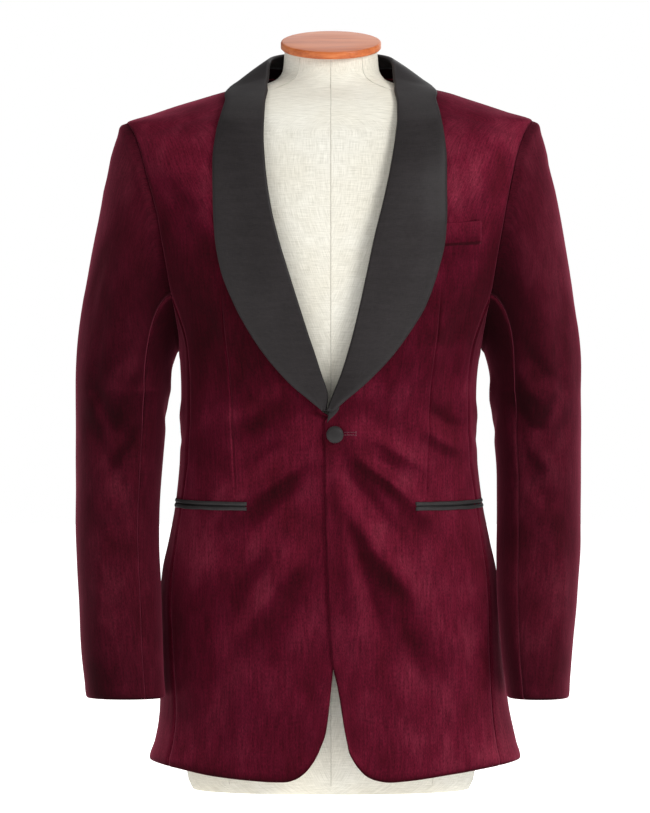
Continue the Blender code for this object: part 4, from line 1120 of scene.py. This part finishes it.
def jet_places(side, upper):
    """Places of a pocket jet: a narrow folded bead whose inner lip runs into the slit."""
    start = float(front_azimuth(JET_START, POCKET_HEIGHT))
    azimuths = [start]
    for _ in range(JET_COLUMNS):
        step = seam_turn(azimuths[-1], POCKET_HEIGHT, JET_LENGTH / JET_COLUMNS)
        azimuths.append(azimuths[-1] + float(step))
    share = np.linspace(0.0, 1.0, JET_ROWS + 1)[:, None]
    low, high = (JET_SLIT / 2, JET_SLIT / 2 + JET_HEIGHT) if upper else (
        -JET_SLIT / 2 - JET_HEIGHT, -JET_SLIT / 2)
    height = POCKET_HEIGHT + low + (high - low) * share
    toward_slit = 1 - share if upper else share
    bead = bead_over(toward_slit, 0.55)
    along = np.linspace(0.0, JET_LENGTH, JET_COLUMNS + 1)
    ends = ease(0.0, 0.0016, along) * (1 - ease(JET_LENGTH - 0.012, JET_LENGTH, along))
    sag = 0.0006 * np.sin(along * 70 + (0.6 if upper else 2.1)) * np.sin(
        HALF_TURN * along / JET_LENGTH)
    height = height - (0.4 if upper else 1.0) * np.abs(sag)
    out = 0.0004 + JET_WALL * (0.10 + 1.05 * bead * (0.15 + 0.85 * ends))
    return body_place(np.array(azimuths) * side, height, out)


def slit_places(side):
    """Places of the near-black strip in the pocket's slit between the jets, painted shade for the
    slit's dark recess.
    """
    start = float(front_azimuth(JET_START + 0.001, POCKET_HEIGHT))
    end = start + float(seam_turn(start + 0.3, POCKET_HEIGHT, JET_LENGTH - 0.004))
    height = POCKET_HEIGHT + np.linspace(-JET_SLIT, JET_SLIT, 3)[:, None]
    return body_place(np.linspace(start, end, MOUTH_COLUMNS) * side, height, 0.0003)


def welt_places():
    """Places of the breast welt: a folded strip that slopes up to the side."""
    across = WELT_START + (WELT_END - WELT_START) * crowd_ends(WELT_COLUMNS, 0.75)[None, :]
    share = crowd_ends(WELT_ROWS, 0.75)[:, None]
    height = WELT_FOOT + WELT_SLOPE * (across - WELT_START) + WELT_HEIGHT * share
    azimuth = front_azimuth(across, height)
    places = body_place(azimuth, height, TRIM_GAP + WELT_WALL)
    along = np.minimum(across - WELT_START, WELT_END - across)
    top = WELT_HEIGHT * (1 - share)
    out = -rolled_in(along, *WELT_END_ROLL) - rolled_in(top, *WELT_TOP_ROLL)
    out = out - rolled_in(WELT_HEIGHT * share, *WELT_FOOT_ROLL)
    out = out + 0.0005 * np.sin(HALF_TURN * np.broadcast_to(share, out.shape)) ** 0.5
    return places + normals_of(places, 1) * out[..., None]


def edging_places():
    """Places of the satin edging: the lapel's narrowing point, over the left front's edge."""
    foot, top = EDGING_LEFT[0][0], EDGING_LEFT[-1][0]
    height = np.linspace(foot, top, EDGING_STEPS[0] + 1)[:, None]
    share = np.linspace(0.0, 1.0, EDGING_STEPS[1] + 1)[None, :]
    width = EDGING_WIDTH * ease(foot - 0.003, top - 0.002, height)
    across = read(EDGING_LEFT, 1, height) + width * share
    bead = bead_over(share, 0.5)
    return front_place(1, front_azimuth(across, height), height, 0.0004 + 0.0010 * bead)


def frame_on(azimuth, height, out, surface=front_place):
    """A turned frame that stands on the left front: X across, Y up the cloth, Z outwards."""
    place = Vector(surface(1, azimuth, height, out).tolist())
    ahead = Vector(surface(1, azimuth, height, out + 0.01).tolist())
    outward = (ahead - place).normalized()
    up = (Vector((0.0, 0.0, 1.0)) - outward * outward.z).normalized()
    across = up.cross(outward)
    turned = Matrix((across, up, outward)).transposed().to_4x4()
    return Matrix.Translation(place) @ turned


def make_mesh(name, shape, finish):
    """Turn a finished shape into a piece."""
    mesh = bpy.data.meshes.new(name)
    shape.to_mesh(mesh)
    shape.free()
    mesh.shade_smooth()
    mesh.materials.append(finish)
    piece = bpy.data.objects.new(name, mesh)
    bpy.context.scene.collection.objects.link(piece)
    return piece


def turn_profile(profile, steps):
    """Turn a profile of radii and heights once round the Z axis."""
    shape = bmesh.new()
    corners = [shape.verts.new((radius, 0.0, height)) for radius, height in profile]
    for low, high in zip(corners[:-1], corners[1:]):
        shape.edges.new((low, high))
    bmesh.ops.spin(shape, geom=shape.verts[:] + shape.edges[:], cent=(0, 0, 0), axis=(0, 0, 1),
                   angle=2 * math.pi, steps=steps, use_merge=True)
    bmesh.ops.remove_doubles(shape, verts=shape.verts, dist=JOIN_DISTANCE)
    return shape


def make_button(finish):
    """Make the covered button: a turned dome of satin with soft gathers at its rim."""
    flat = BUTTON_HALF_THICKNESS
    profile = [(0.0, 0.92 * flat), (0.35, 0.88 * flat), (0.62, 0.74 * flat), (0.80, 0.52 * flat),
               (0.92, 0.22 * flat), (0.985, -0.12 * flat), (1.0, -0.45 * flat),
               (0.97, -0.75 * flat), (0.90, -0.95 * flat), (0.60, -flat), (0.0, -flat)]
    shape = turn_profile([(share * BUTTON_RADIUS, z) for share, z in profile], BUTTON_STEPS)
    for corner in shape.verts:
        out = math.hypot(corner.co.x, corner.co.y)
        turn = math.atan2(corner.co.y, corner.co.x)
        rim = float(ease(0.70, 0.95, out / BUTTON_RADIUS)) * (corner.co.z < 0.6 * flat)
        corner.co.z += 0.00010 * rim * math.sin(turn * 12) + 0.00006 * rim * math.sin(turn * 19)
    bmesh.ops.recalc_face_normals(shape, faces=shape.faces)
    azimuth = front_azimuth(BUTTON_ACROSS, BUTTON_HEIGHT)
    seat = frame_on(azimuth, BUTTON_HEIGHT, TRIM_GAP + BUTTON_HALF_THICKNESS)
    bmesh.ops.transform(shape, matrix=seat, verts=shape.verts)
    return make_mesh("button_cover", shape, finish)


def add_stitch(shape, place, length, radius):
    """Add one stitch: a short thread with rounded ends that lies along its frame's X."""
    made = bmesh.ops.create_uvsphere(shape, u_segments=6, v_segments=4, radius=radius)
    stretch = Matrix.Diagonal((1.0, 1.0, length / (2 * radius), 1.0))
    turn = Matrix.Rotation(QUARTER, 4, "Y")
    bmesh.ops.transform(shape, matrix=place @ turn @ stretch, verts=made["verts"])


# Lengths and radii of the buttonhole's stitches, and how far those of its lips lean
LIP_STITCH = (0.0011, 0.00022)
BAR_STITCH = (0.0014, 0.00028)
LIP_LEAN = 0.12


def make_buttonhole(finish):
    """Make the worked buttonhole: stitches across both lips, a bar tack and a closed slit."""
    shape = bmesh.new()
    for lip in (1, -1):
        for index in range(HOLE_STITCHES):
            across = HOLE_START + (HOLE_END - HOLE_START) * index / (HOLE_STITCHES - 1)
            height = HOLE_HEIGHT + lip * HOLE_HALF_HEIGHT
            place = frame_on(front_azimuth(across, height), height, 0.0001)
            lean = Matrix.Rotation(QUARTER + LIP_LEAN * lip, 4, "Z")
            add_stitch(shape, place @ lean, *LIP_STITCH)
    for index in range(HOLE_BAR_STITCHES):
        height = HOLE_HEIGHT + HOLE_BAR_HALF_HEIGHT * (2 * index / (HOLE_BAR_STITCHES - 1) - 1)
        place = frame_on(front_azimuth(HOLE_END, height), height, 0.0003)
        add_stitch(shape, place, *BAR_STITCH)
    return make_mesh("buttonhole", shape, finish)


def form_surface(azimuths, heights):
    """Places on the dress form, whose neck is cut at a forward tilt."""
    places = ring_place(FORM_RINGS, azimuths, heights)
    tilt = math.tan(NECK_TILT) * ease(TILT_FOOT, FORM_RINGS[-1][0], heights)
    places[..., 2] += places[..., 1] * tilt
    return places


def form_places():
    """Places of the form's cover, closer together where its shoulders turn."""
    low, high = FORM_SHOULDERS
    heights = np.concatenate((even_steps(0.0, low, 0.010), even_steps(low, high, 0.002)[1:],
                              even_steps(high, FORM_RINGS[-1][0], 0.0035)[1:]))[:, None]
    azimuths = np.linspace(0.0, 2 * HALF_TURN, FORM_COLUMNS + 1)[None, :]
    return form_surface(azimuths, heights)


def make_form(finish):
    """Make the dress form: a grid wrapped round its rings, joined and closed at both ends."""
    piece = lay_grid("dress_form", form_places(), 1, [finish])
    shape = bmesh.new()
    shape.from_mesh(piece.data)
    bmesh.ops.remove_doubles(shape, verts=shape.verts, dist=JOIN_DISTANCE)
    rims = [edge for edge in shape.edges if edge.is_boundary]
    bmesh.ops.holes_fill(shape, edges=rims, sides=FORM_COLUMNS)
    bmesh.ops.recalc_face_normals(shape, faces=shape.faces)
    shape.to_mesh(piece.data)
    shape.free()
    piece.data.shade_smooth()
    piece.data.set_sharp_from_angle(angle=math.radians(60))
    return piece


def make_form_seams(finish):
    """Make the form's cover seams: fine raised threads down the middle, sides and back."""
    shape = bmesh.new()
    heights = even_steps(0.010, FORM_RINGS[-1][0] - 0.002, 0.006)
    for degrees in FORM_SEAMS:
        azimuth = math.radians(degrees) + 0 * heights
        line = form_surface(azimuth, heights)
        made = bmesh.ops.create_grid(shape, x_segments=FORM_SEAM_SIDES,
                                     y_segments=len(heights) - 1, size=0.5)["verts"]
        for corner in made:
            turn = 2 * HALF_TURN * (corner.co.x + 0.5)
            row = round((corner.co.y + 0.5) * (len(heights) - 1))
            middle = Vector(line[row].tolist())
            across = Vector((math.cos(azimuth[0]), math.sin(azimuth[0]), 0.0))
            outward = Vector((math.sin(azimuth[0]), -math.cos(azimuth[0]), 0.0))
            round_it = across * math.cos(turn) + outward * math.sin(turn)
            corner.co = middle + round_it * FORM_SEAM_RADIUS
    bmesh.ops.remove_doubles(shape, verts=shape.verts, dist=JOIN_DISTANCE)
    bmesh.ops.recalc_face_normals(shape, faces=shape.faces)
    return make_mesh("form_seams", shape, finish)


def make_cap(finish):
    """Make the wooden cap: a turned disc with rounded rims on the neck's tilted top."""
    outward = Vector((0.0, -math.sin(NECK_TILT), math.cos(NECK_TILT)))
    foot = Vector((0.0, 0.0, FORM_RINGS[-1][0])) + outward * TRIM_GAP
    place = Matrix.Translation(foot) @ Matrix.Rotation(NECK_TILT, 4, "X")
    round_rim = [(CAP_RADIUS - CAP_EDGE * (1 - math.cos(turn)),
                  CAP_THICKNESS - CAP_EDGE * (1 - math.sin(turn)))
                 for turn in np.linspace(0.0, QUARTER, 6)]
    profile = [(0.0, 0.0), (CAP_RADIUS - 0.0012, 0.0), (CAP_RADIUS, 0.0012)]
    profile += round_rim + [(0.030, CAP_THICKNESS), (0.0, CAP_THICKNESS)]
    shape = turn_profile(profile, CAP_STEPS)
    bmesh.ops.recalc_face_normals(shape, faces=shape.faces)
    bmesh.ops.transform(shape, matrix=place, verts=shape.verts)
    piece = make_mesh("neck_cap", shape, finish)
    piece.data.set_sharp_from_angle(angle=math.radians(40))
    return piece


class Look:
    """A material under construction: its nodes, links and shader."""

    def __init__(self, name):
        self.made = bpy.data.materials.new(name)
        self.made.use_nodes = True
        self.nodes = self.made.node_tree.nodes
        self.shader = self.nodes["Principled BSDF"]
        self.places = self.nodes.new("ShaderNodeTexCoord")

    def add(self, kind, **settings):
        """Add a node with its settings; names with an s_ in front are input sockets."""
        node = self.nodes.new(kind)
        for key, value in settings.items():
            if key.startswith("s_"):
                node.inputs[key[2:].replace("_", " ")].default_value = value
            else:
                setattr(node, key, value)
        return node

    def link(self, start, end):
        """Link an output socket to an input socket."""
        self.made.node_tree.links.new(start, end)

    def set(self, **values):
        """Set the shader's own sockets."""
        for key, value in values.items():
            self.shader.inputs[key.replace("_", " ")].default_value = value

    def noise(self, space, stretch, scale, detail=3.0, rough=0.55):
        """A noise over a stretched space: Object places or the cloth's own UV map."""
        mapping = self.add("ShaderNodeMapping", s_Scale=stretch)
        self.link(self.places.outputs[space], mapping.inputs["Vector"])
        noise = self.add("ShaderNodeTexNoise", s_Scale=scale, s_Detail=detail,
                         s_Roughness=rough)
        self.link(mapping.outputs["Vector"], noise.inputs["Vector"])
        return noise.outputs["Fac"]

    def ramp(self, factor, *stops):
        """A colour ramp through places and colours."""
        ramp = self.add("ShaderNodeValToRGB")
        elements = ramp.color_ramp.elements
        while len(elements) < len(stops):
            elements.new(0.5)
        for element, (place, colour) in zip(elements, stops):
            element.position = place
            element.color = (*colour, 1.0)
        self.link(factor, ramp.inputs["Fac"])
        return ramp.outputs["Color"]

    def mix(self, factor, one, other, blend="MIX"):
        """Mix two colours by a factor or by a socket."""
        mix = self.add("ShaderNodeMix", data_type="RGBA", blend_type=blend)
        for socket, value in ((0, factor), (6, one), (7, other)):
            if isinstance(value, (float, tuple)):
                mix.inputs[socket].default_value = value
            else:
                self.link(value, mix.inputs[socket])
        return mix.outputs[2]

    def sums(self, kind, one, other):
        """Combine two numbers."""
        node = self.add("ShaderNodeMath", operation=kind)
        node.inputs[2].default_value = 0.5
        for socket, value in enumerate((one, other)):
            if isinstance(value, float):
                node.inputs[socket].default_value = value
            else:
                self.link(value, node.inputs[socket])
        return node.outputs[0]

    def weighted(self, *parts):
        """Add up patterns, each multiplied by its weight."""
        (pattern, weight), *others = parts
        scaled = self.sums("MULTIPLY", pattern, weight)
        return self.sums("ADD", scaled, self.weighted(*others)) if others else scaled

    def bump(self, height, depth, strength=1.0, under=None):
        """Give the shader's surface a relief, on top of another one."""
        bump = self.add("ShaderNodeBump", s_Strength=strength, s_Distance=depth)
        self.link(height, bump.inputs["Height"])
        if under is not None:
            self.link(under, bump.inputs["Normal"])
        self.link(bump.outputs["Normal"], self.shader.inputs["Normal"])
        return bump.outputs["Normal"]


def velvet_look(name, tone):
    """Burgundy velvet: a deep short pile with a sheen and brushed patches, and painted light and
    shade: paler where the cloth faces up, darker where it faces down.
    """
    look = Look(name)
    brushed = look.noise("Object", (1.0, 1.0, 0.55), 34.0, 4.0, 0.6)
    patches = look.noise("Object", (1.0, 1.0, 0.7), 13.0, 2.0, 0.5)
    pile = look.noise("UV", (1.0, 0.35, 1.0), 900.0, 2.0, 0.6)
    streaks = look.noise("UV", (1.0, 0.09, 1.0), 420.0, 2.0, 0.5)
    worn = look.weighted((brushed, 0.55), (patches, 0.45))
    depths = ((0.36, VELVET_DEEP), (0.50, VELVET_MIDDLE), (0.64, VELVET_LIGHT))
    base = look.ramp(worn, *((at, tuple(tone * part for part in dye)) for at, dye in depths))
    grain = look.weighted((pile, 0.6), (streaks, 0.4))
    fine = look.ramp(grain, (0.34, (0.52, 0.50, 0.51)), (0.66, (1.52, 1.50, 1.50)))
    # Painted light and shade: the colour is multiplied up where the surface faces up and down where
    # it faces down
    facing = look.add("ShaderNodeVectorMath", operation="DOT_PRODUCT")
    look.link(look.places.outputs["Normal"], facing.inputs[0])
    facing.inputs[1].default_value = PAINTED_LIGHT_DIRECTION
    painted_light = look.ramp(look.sums("MULTIPLY_ADD", facing.outputs["Value"], 0.5), *PAINTED_LIGHT_TONES)
    pile_and_painted_light = look.mix(1.0, look.mix(1.0, base, fine, "MULTIPLY"), painted_light, "MULTIPLY")
    look.link(pile_and_painted_light, look.shader.inputs["Base Color"])
    look.set(Roughness=0.86, Sheen_Weight=VELVET_SHEEN, Sheen_Roughness=0.42,
             Sheen_Tint=VELVET_SHEEN_TINT, Specular_IOR_Level=0.05)
    soft = look.bump(look.sums("MULTIPLY", brushed, 1.0), 0.0014, 0.55)
    look.bump(grain, 0.00035, 0.55, soft)
    return look.made


def wrong_side_look():
    """The velvet's plain woven back, seen only inside hems, cuffs and pockets."""
    look = Look("velvet_wrong_side")
    across = look.add("ShaderNodeTexWave", s_Scale=420.0, bands_direction="X")
    up = look.add("ShaderNodeTexWave", s_Scale=420.0, bands_direction="Y")
    for wave in (across, up):
        look.link(look.places.outputs["UV"], wave.inputs["Vector"])
    weave = look.sums("MULTIPLY", across.outputs["Fac"], up.outputs["Fac"])
    colour = look.ramp(weave, (0.0, (0.020, 0.003, 0.006)), (1.0, (0.060, 0.008, 0.016)))
    look.link(colour, look.shader.inputs["Base Color"])
    look.set(Roughness=0.95, Specular_IOR_Level=0.1)
    look.bump(weave, 0.0002, 0.5)
    return look.made


def satin_look(name, dark, light, sheen):
    """Charcoal satin: fine threads across, a soft broad gloss and faint slubs."""
    look = Look(name)
    threads = look.noise("UV", (0.10, 1.0, 1.0), 1500.0, 2.0, 0.5)
    crossing = look.noise("UV", (1.0, 0.10, 1.0), 1300.0, 1.0, 0.5)
    slubs = look.noise("UV", (0.12, 1.0, 1.0), 190.0, 3.0, 0.6)
    cloudy = look.noise("Object", (1.0, 1.0, 0.5), 22.0, 2.0, 0.5)
    woven = look.weighted((threads, 0.65), (crossing, 0.35))
    mixed = look.weighted((woven, 0.5), (slubs, 0.25), (cloudy, 0.25))
    look.link(look.ramp(mixed, (0.38, dark), (0.62, light)), look.shader.inputs["Base Color"])
    rough = look.sums("ADD", look.sums("MULTIPLY", slubs, 0.14), 0.46)
    look.link(rough, look.shader.inputs["Roughness"])
    look.set(Specular_IOR_Level=0.19, Sheen_Weight=sheen, Sheen_Roughness=0.5,
             Sheen_Tint=(0.80, 0.79, 0.82, 1.0), Anisotropic=0.45)
    under = look.bump(slubs, 0.00022, 0.30)
    look.bump(woven, 0.00018, 0.40, under)
    return look.made


def thread_look(name, colour):
    """Twisted sewing thread."""
    look = Look(name)
    twist = look.noise("Object", (1.0, 1.0, 1.0), 2400.0, 2.0, 0.5)
    dim = tuple(channel * 0.6 for channel in colour)
    look.link(look.ramp(twist, (0.35, dim), (0.65, colour)), look.shader.inputs["Base Color"])
    look.set(Roughness=0.6, Sheen_Weight=0.3, Sheen_Roughness=0.4)
    look.bump(twist, 0.0001, 0.5)
    return look.made


def linen_look():
    """Cream linen stretched over the form: a plain weave with uneven threads."""
    look = Look("cream_linen")
    warp = look.noise("UV", (1.0, 0.05, 1.0), 1300.0, 2.0, 0.6)
    weft = look.noise("UV", (0.05, 1.0, 1.0), 1300.0, 2.0, 0.6)
    weave = look.weighted((warp, 0.5), (weft, 0.5))
    age = look.noise("Object", (1.0, 1.0, 1.0), 9.0, 3.0, 0.6)
    colour = look.ramp(weave, (0.38, LINEN_SHADE), (0.60, LINEN_LIGHT))
    aged = look.ramp(age, (0.35, (0.94, 0.92, 0.88)), (0.65, (1.0, 1.0, 1.0)))
    look.link(look.mix(1.0, colour, aged, "MULTIPLY"), look.shader.inputs["Base Color"])
    look.set(Roughness=0.85, Specular_IOR_Level=0.25, Sheen_Weight=0.12, Sheen_Roughness=0.5)
    look.bump(weave, 0.0003, 0.45)
    return look.made


def wood_look():
    """Orange-brown varnished wood: long grain, growth lines and a satin varnish."""
    look = Look("varnished_wood")
    stretched = look.add("ShaderNodeMapping", s_Scale=(2.0, 22.0, 22.0))
    look.link(look.places.outputs["Object"], stretched.inputs["Vector"])
    grain = look.add("ShaderNodeTexNoise", s_Scale=3.2, s_Detail=6.0, s_Roughness=0.62,
                     s_Distortion=0.6)
    look.link(stretched.outputs["Vector"], grain.inputs["Vector"])
    fine = look.noise("Object", (6.0, 130.0, 130.0), 5.0, 3.0, 0.6)
    mixed = look.weighted((grain.outputs["Fac"], 0.7), (fine, 0.3))
    colour = look.ramp(mixed, (0.34, WOOD_DARK), (0.50, WOOD_MIDDLE), (0.68, WOOD_LIGHT))
    look.link(colour, look.shader.inputs["Base Color"])
    look.set(Roughness=0.38, Coat_Weight=0.12, Coat_Roughness=0.3, Specular_IOR_Level=0.3)
    look.bump(mixed, 0.0003, 0.25)
    return look.made


def floor_look():
    """Plain pale studio floor, barely uneven."""
    look = Look("studio_floor")
    cloudy = look.noise("Object", (1.0, 1.0, 1.0), 3.0, 2.0, 0.5)
    look.link(look.ramp(cloudy, (0.3, (0.87, 0.87, 0.87)), (0.7, (0.90, 0.90, 0.90))),
              look.shader.inputs["Base Color"])
    look.set(Roughness=0.9, Specular_IOR_Level=0.1, Emission_Color=(1.0, 1.0, 1.0, 1.0),
             Emission_Strength=FLOOR_GLOW)
    return look.made


def wear(piece, node, slot, flat=None, share=0.8):
    """Tie a finished piece to the frame and hide the part it replaces; its slot and cut size are
    not used.
    """
    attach(piece, "root")
    if node:
        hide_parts(node)


def dress(looks):
    """Make the jacket's cut pieces on both sides, and its trim."""
    velvet = [looks["velvet"], looks["wrong_side"]]
    # The sleeves take the darker copy of the velvet, painted shade
    shaded_arm_velvet = [looks["sleeve_velvet_painted_shade"], looks["wrong_side"]]
    satin = [looks["satin"], looks["under_collar"]]
    for side, word in ((1, "left"), (-1, "right")):
        top = sleeve_places(side, HIND_SEAM, FRONT_SEAM, TOP_SLEEVE_COLUMNS)
        under = sleeve_places(side, FRONT_SEAM, HIND_SEAM + 2 * HALF_TURN,
                              UNDER_SLEEVE_COLUMNS)
        cut = (
            ("front", front_places(side), side, velvet, VELVET, "velvet"),
            ("side", side_places(side), side, velvet, VELVET, "velvet"),
            ("back", back_places(side), side, velvet, VELVET, "velvet"),
            ("sleeve_top", top, -side, shaded_arm_velvet, VELVET, "velvet"),
            ("sleeve_under", under, -side, shaded_arm_velvet, VELVET, "velvet"),
            ("collar", collar_places(side), side, satin, SATIN, "satin"),
        )
        for kind, places, facing, finish, wall, slot in cut:
            worn = as_worn(places, kind.startswith("sleeve"))
            piece = lay_grid(kind + "_" + word + "_cloth", worn, facing, finish)
            wear(give_wall(piece, wall), kind + "_" + word, slot, *CLOTH_SIZES[kind])
        for level in ("upper", "lower"):
            jet = lay_grid("jet_" + level + "_" + word, as_worn(jet_places(side, level == "upper")),
                           side, [looks["trim_satin"]])
            wear(give_wall(jet, TRIM_SHELL), "hip_jet_" + level + "_" + word, "satin",
                 *CLOTH_SIZES["jet"])
        # A near-black strip in each pocket's slit: painted shade for the slit's dark recess
        mouth = lay_grid("pocket_slit_painted_shade_" + word, as_worn(slit_places(side)), side,
                         [looks["mouth"]])
        wear(mouth, None, "satin", *CLOTH_SIZES["mouth"])
    edging = lay_grid("lapel_edging", as_worn(edging_places()), 1, [looks["satin"]])
    wear(give_wall(edging, TRIM_SHELL), None, "satin", *CLOTH_SIZES["edging"])
    welt = lay_grid("breast_welt_cloth", as_worn(welt_places()), 1, velvet)
    wear(give_wall(welt, WELT_SHELL), "breast_welt", "velvet", *CLOTH_SIZES["welt"])
    wear(make_button(looks["trim_satin"]), "button_front", "satin")
    wear(make_buttonhole(looks["rose_thread"]), None, "velvet")


def stand_on_form(looks):
    """Make the dress form and its cap."""
    wear(make_form(looks["linen"]), "form_torso", "linen")
    wear(make_form_seams(looks["cream_thread"]), None, "linen")
    wear(make_cap(looks["wood"]), "form_neck_cap", "wood")


# Each kind's cut: width, length, and the share of that rectangle which the piece fills
CLOTH_SIZES = {
    "front": ((0.213, 0.914), 0.73),
    "side": ((0.183, 0.537), 0.60),
    "back": ((0.268, 0.913), 0.62),
    "sleeve_top": ((0.320, 0.660), 0.71),
    "sleeve_under": ((0.156, 0.462), 0.63),
    "collar": ((0.105, 0.634), 0.62),
    "jet": ((0.010, 0.149), 0.44),
    "mouth": ((0.010, 0.147), 0.30),
    "edging": ((0.0106, 0.018), 0.69),
    "welt": ((0.085, 0.027), 0.99),
}


def area_light(name, place, target, size, power, colour=(1.0, 1.0, 1.0)):
    """A soft box that faces its target."""
    data = bpy.data.lights.new(name, "AREA")
    data.shape = "RECTANGLE"
    data.size, data.size_y = size
    data.energy = power
    data.color = colour
    lamp = bpy.data.objects.new(name, data)
    bpy.context.scene.collection.objects.link(lamp)
    lamp.location = place
    lamp.rotation_euler = (Vector(target) - Vector(place)).to_track_quat("-Z", "Y").to_euler()


def light_studio():
    """A pale world and four large soft boxes, seen with plain colours."""
    bpy.context.scene.view_settings.view_transform = "Standard"
    world = bpy.data.worlds.new("studio")
    bpy.context.scene.world = world
    world.use_nodes = True
    nodes, links = world.node_tree.nodes, world.node_tree.links
    room = nodes["Background"]
    room.inputs["Color"].default_value = (1.0, 1.0, 1.0, 1.0)
    room.inputs["Strength"].default_value = WORLD_STRENGTH
    backdrop = nodes.new("ShaderNodeBackground")
    backdrop.inputs["Color"].default_value = (1.0, 1.0, 1.0, 1.0)
    backdrop.inputs["Strength"].default_value = BACKDROP_STRENGTH
    seen = nodes.new("ShaderNodeLightPath")
    mix = nodes.new("ShaderNodeMixShader")
    links.new(seen.outputs["Is Camera Ray"], mix.inputs["Fac"])
    links.new(room.outputs["Background"], mix.inputs[1])
    links.new(backdrop.outputs["Background"], mix.inputs[2])
    links.new(mix.outputs["Shader"], nodes["World Output"].inputs["Surface"])
    chest = (0.0, 0.0, 0.45)
    area_light("key", (2.1, -1.9, 1.9), chest, (1.0, 1.2), KEY_POWER)
    area_light("fill", (-2.0, -2.0, 1.6), chest, (1.2, 1.6), FILL_POWER)
    area_light("top", (0.2, 0.2, 2.6), chest, (1.8, 1.4), TOP_POWER)
    area_light("back", (0.6, 2.4, 1.5), chest, (1.8, 1.6), BACK_POWER)


WORLD_STRENGTH = 0.30
BACKDROP_STRENGTH = 1.0
KEY_POWER = 60.0
FILL_POWER = 9.0
TOP_POWER = 14.0
BACK_POWER = 12.0


def lay_floor(finish):
    """A plain pale floor."""
    shape = bmesh.new()
    bmesh.ops.create_grid(shape, x_segments=8, y_segments=8, size=6.0)
    floor = make_mesh("floor", shape, finish)


# The photograph's view: far off, at the height of the lower chest
CAMERA_DISTANCE = 9.0
CAMERA_ELEVATION = math.radians(2.0)
VIEW_HEIGHT = 0.9106
SENSOR = 24.0
CAMERA_TARGET = Vector((-0.0067, -0.0600, 0.4327))


def set_camera():
    """Place the camera straight in front, a little above level."""
    data = bpy.data.cameras.new("camera")
    data.sensor_fit = "VERTICAL"
    data.sensor_height = SENSOR
    data.sensor_width = SENSOR
    data.lens = SENSOR * CAMERA_DISTANCE / VIEW_HEIGHT
    data.clip_end = 40.0
    camera = bpy.data.objects.new("camera", data)
    bpy.context.scene.collection.objects.link(camera)
    back = Vector((0.0, -math.cos(CAMERA_ELEVATION), math.sin(CAMERA_ELEVATION)))
    camera.location = CAMERA_TARGET + back * CAMERA_DISTANCE
    camera.rotation_euler = (-back).to_track_quat("-Z", "Y").to_euler()
    bpy.context.scene.camera = camera


def main():
    """Build the whole scene."""
    looks = {
        "velvet": velvet_look("burgundy_velvet", 1.0),
        # A darker copy of the velvet for the sleeves: painted shade
        "sleeve_velvet_painted_shade": velvet_look("sleeve_velvet_painted_shade", SLEEVE_PAINTED_SHADE),
        "wrong_side": wrong_side_look(),
        "satin": satin_look("charcoal_satin", *COLLAR_SATIN),
        "under_collar": wrong_side_look(),
        "trim_satin": satin_look("trim_satin", *TRIM_SATIN),
        # Near-black for the pocket slits: painted shade
        "mouth": satin_look("pocket_slit_painted_shade", *SLIT_PAINTED_SHADE),
        "rose_thread": thread_look("rose_thread", ROSE_THREAD),
        "cream_thread": thread_look("cream_thread", CREAM_THREAD),
        "linen": linen_look(),
        "wood": wood_look(),
    }
    set_camera()
    dress(looks)
    stand_on_form(looks)
    lay_floor(floor_look())
    light_studio()


main()
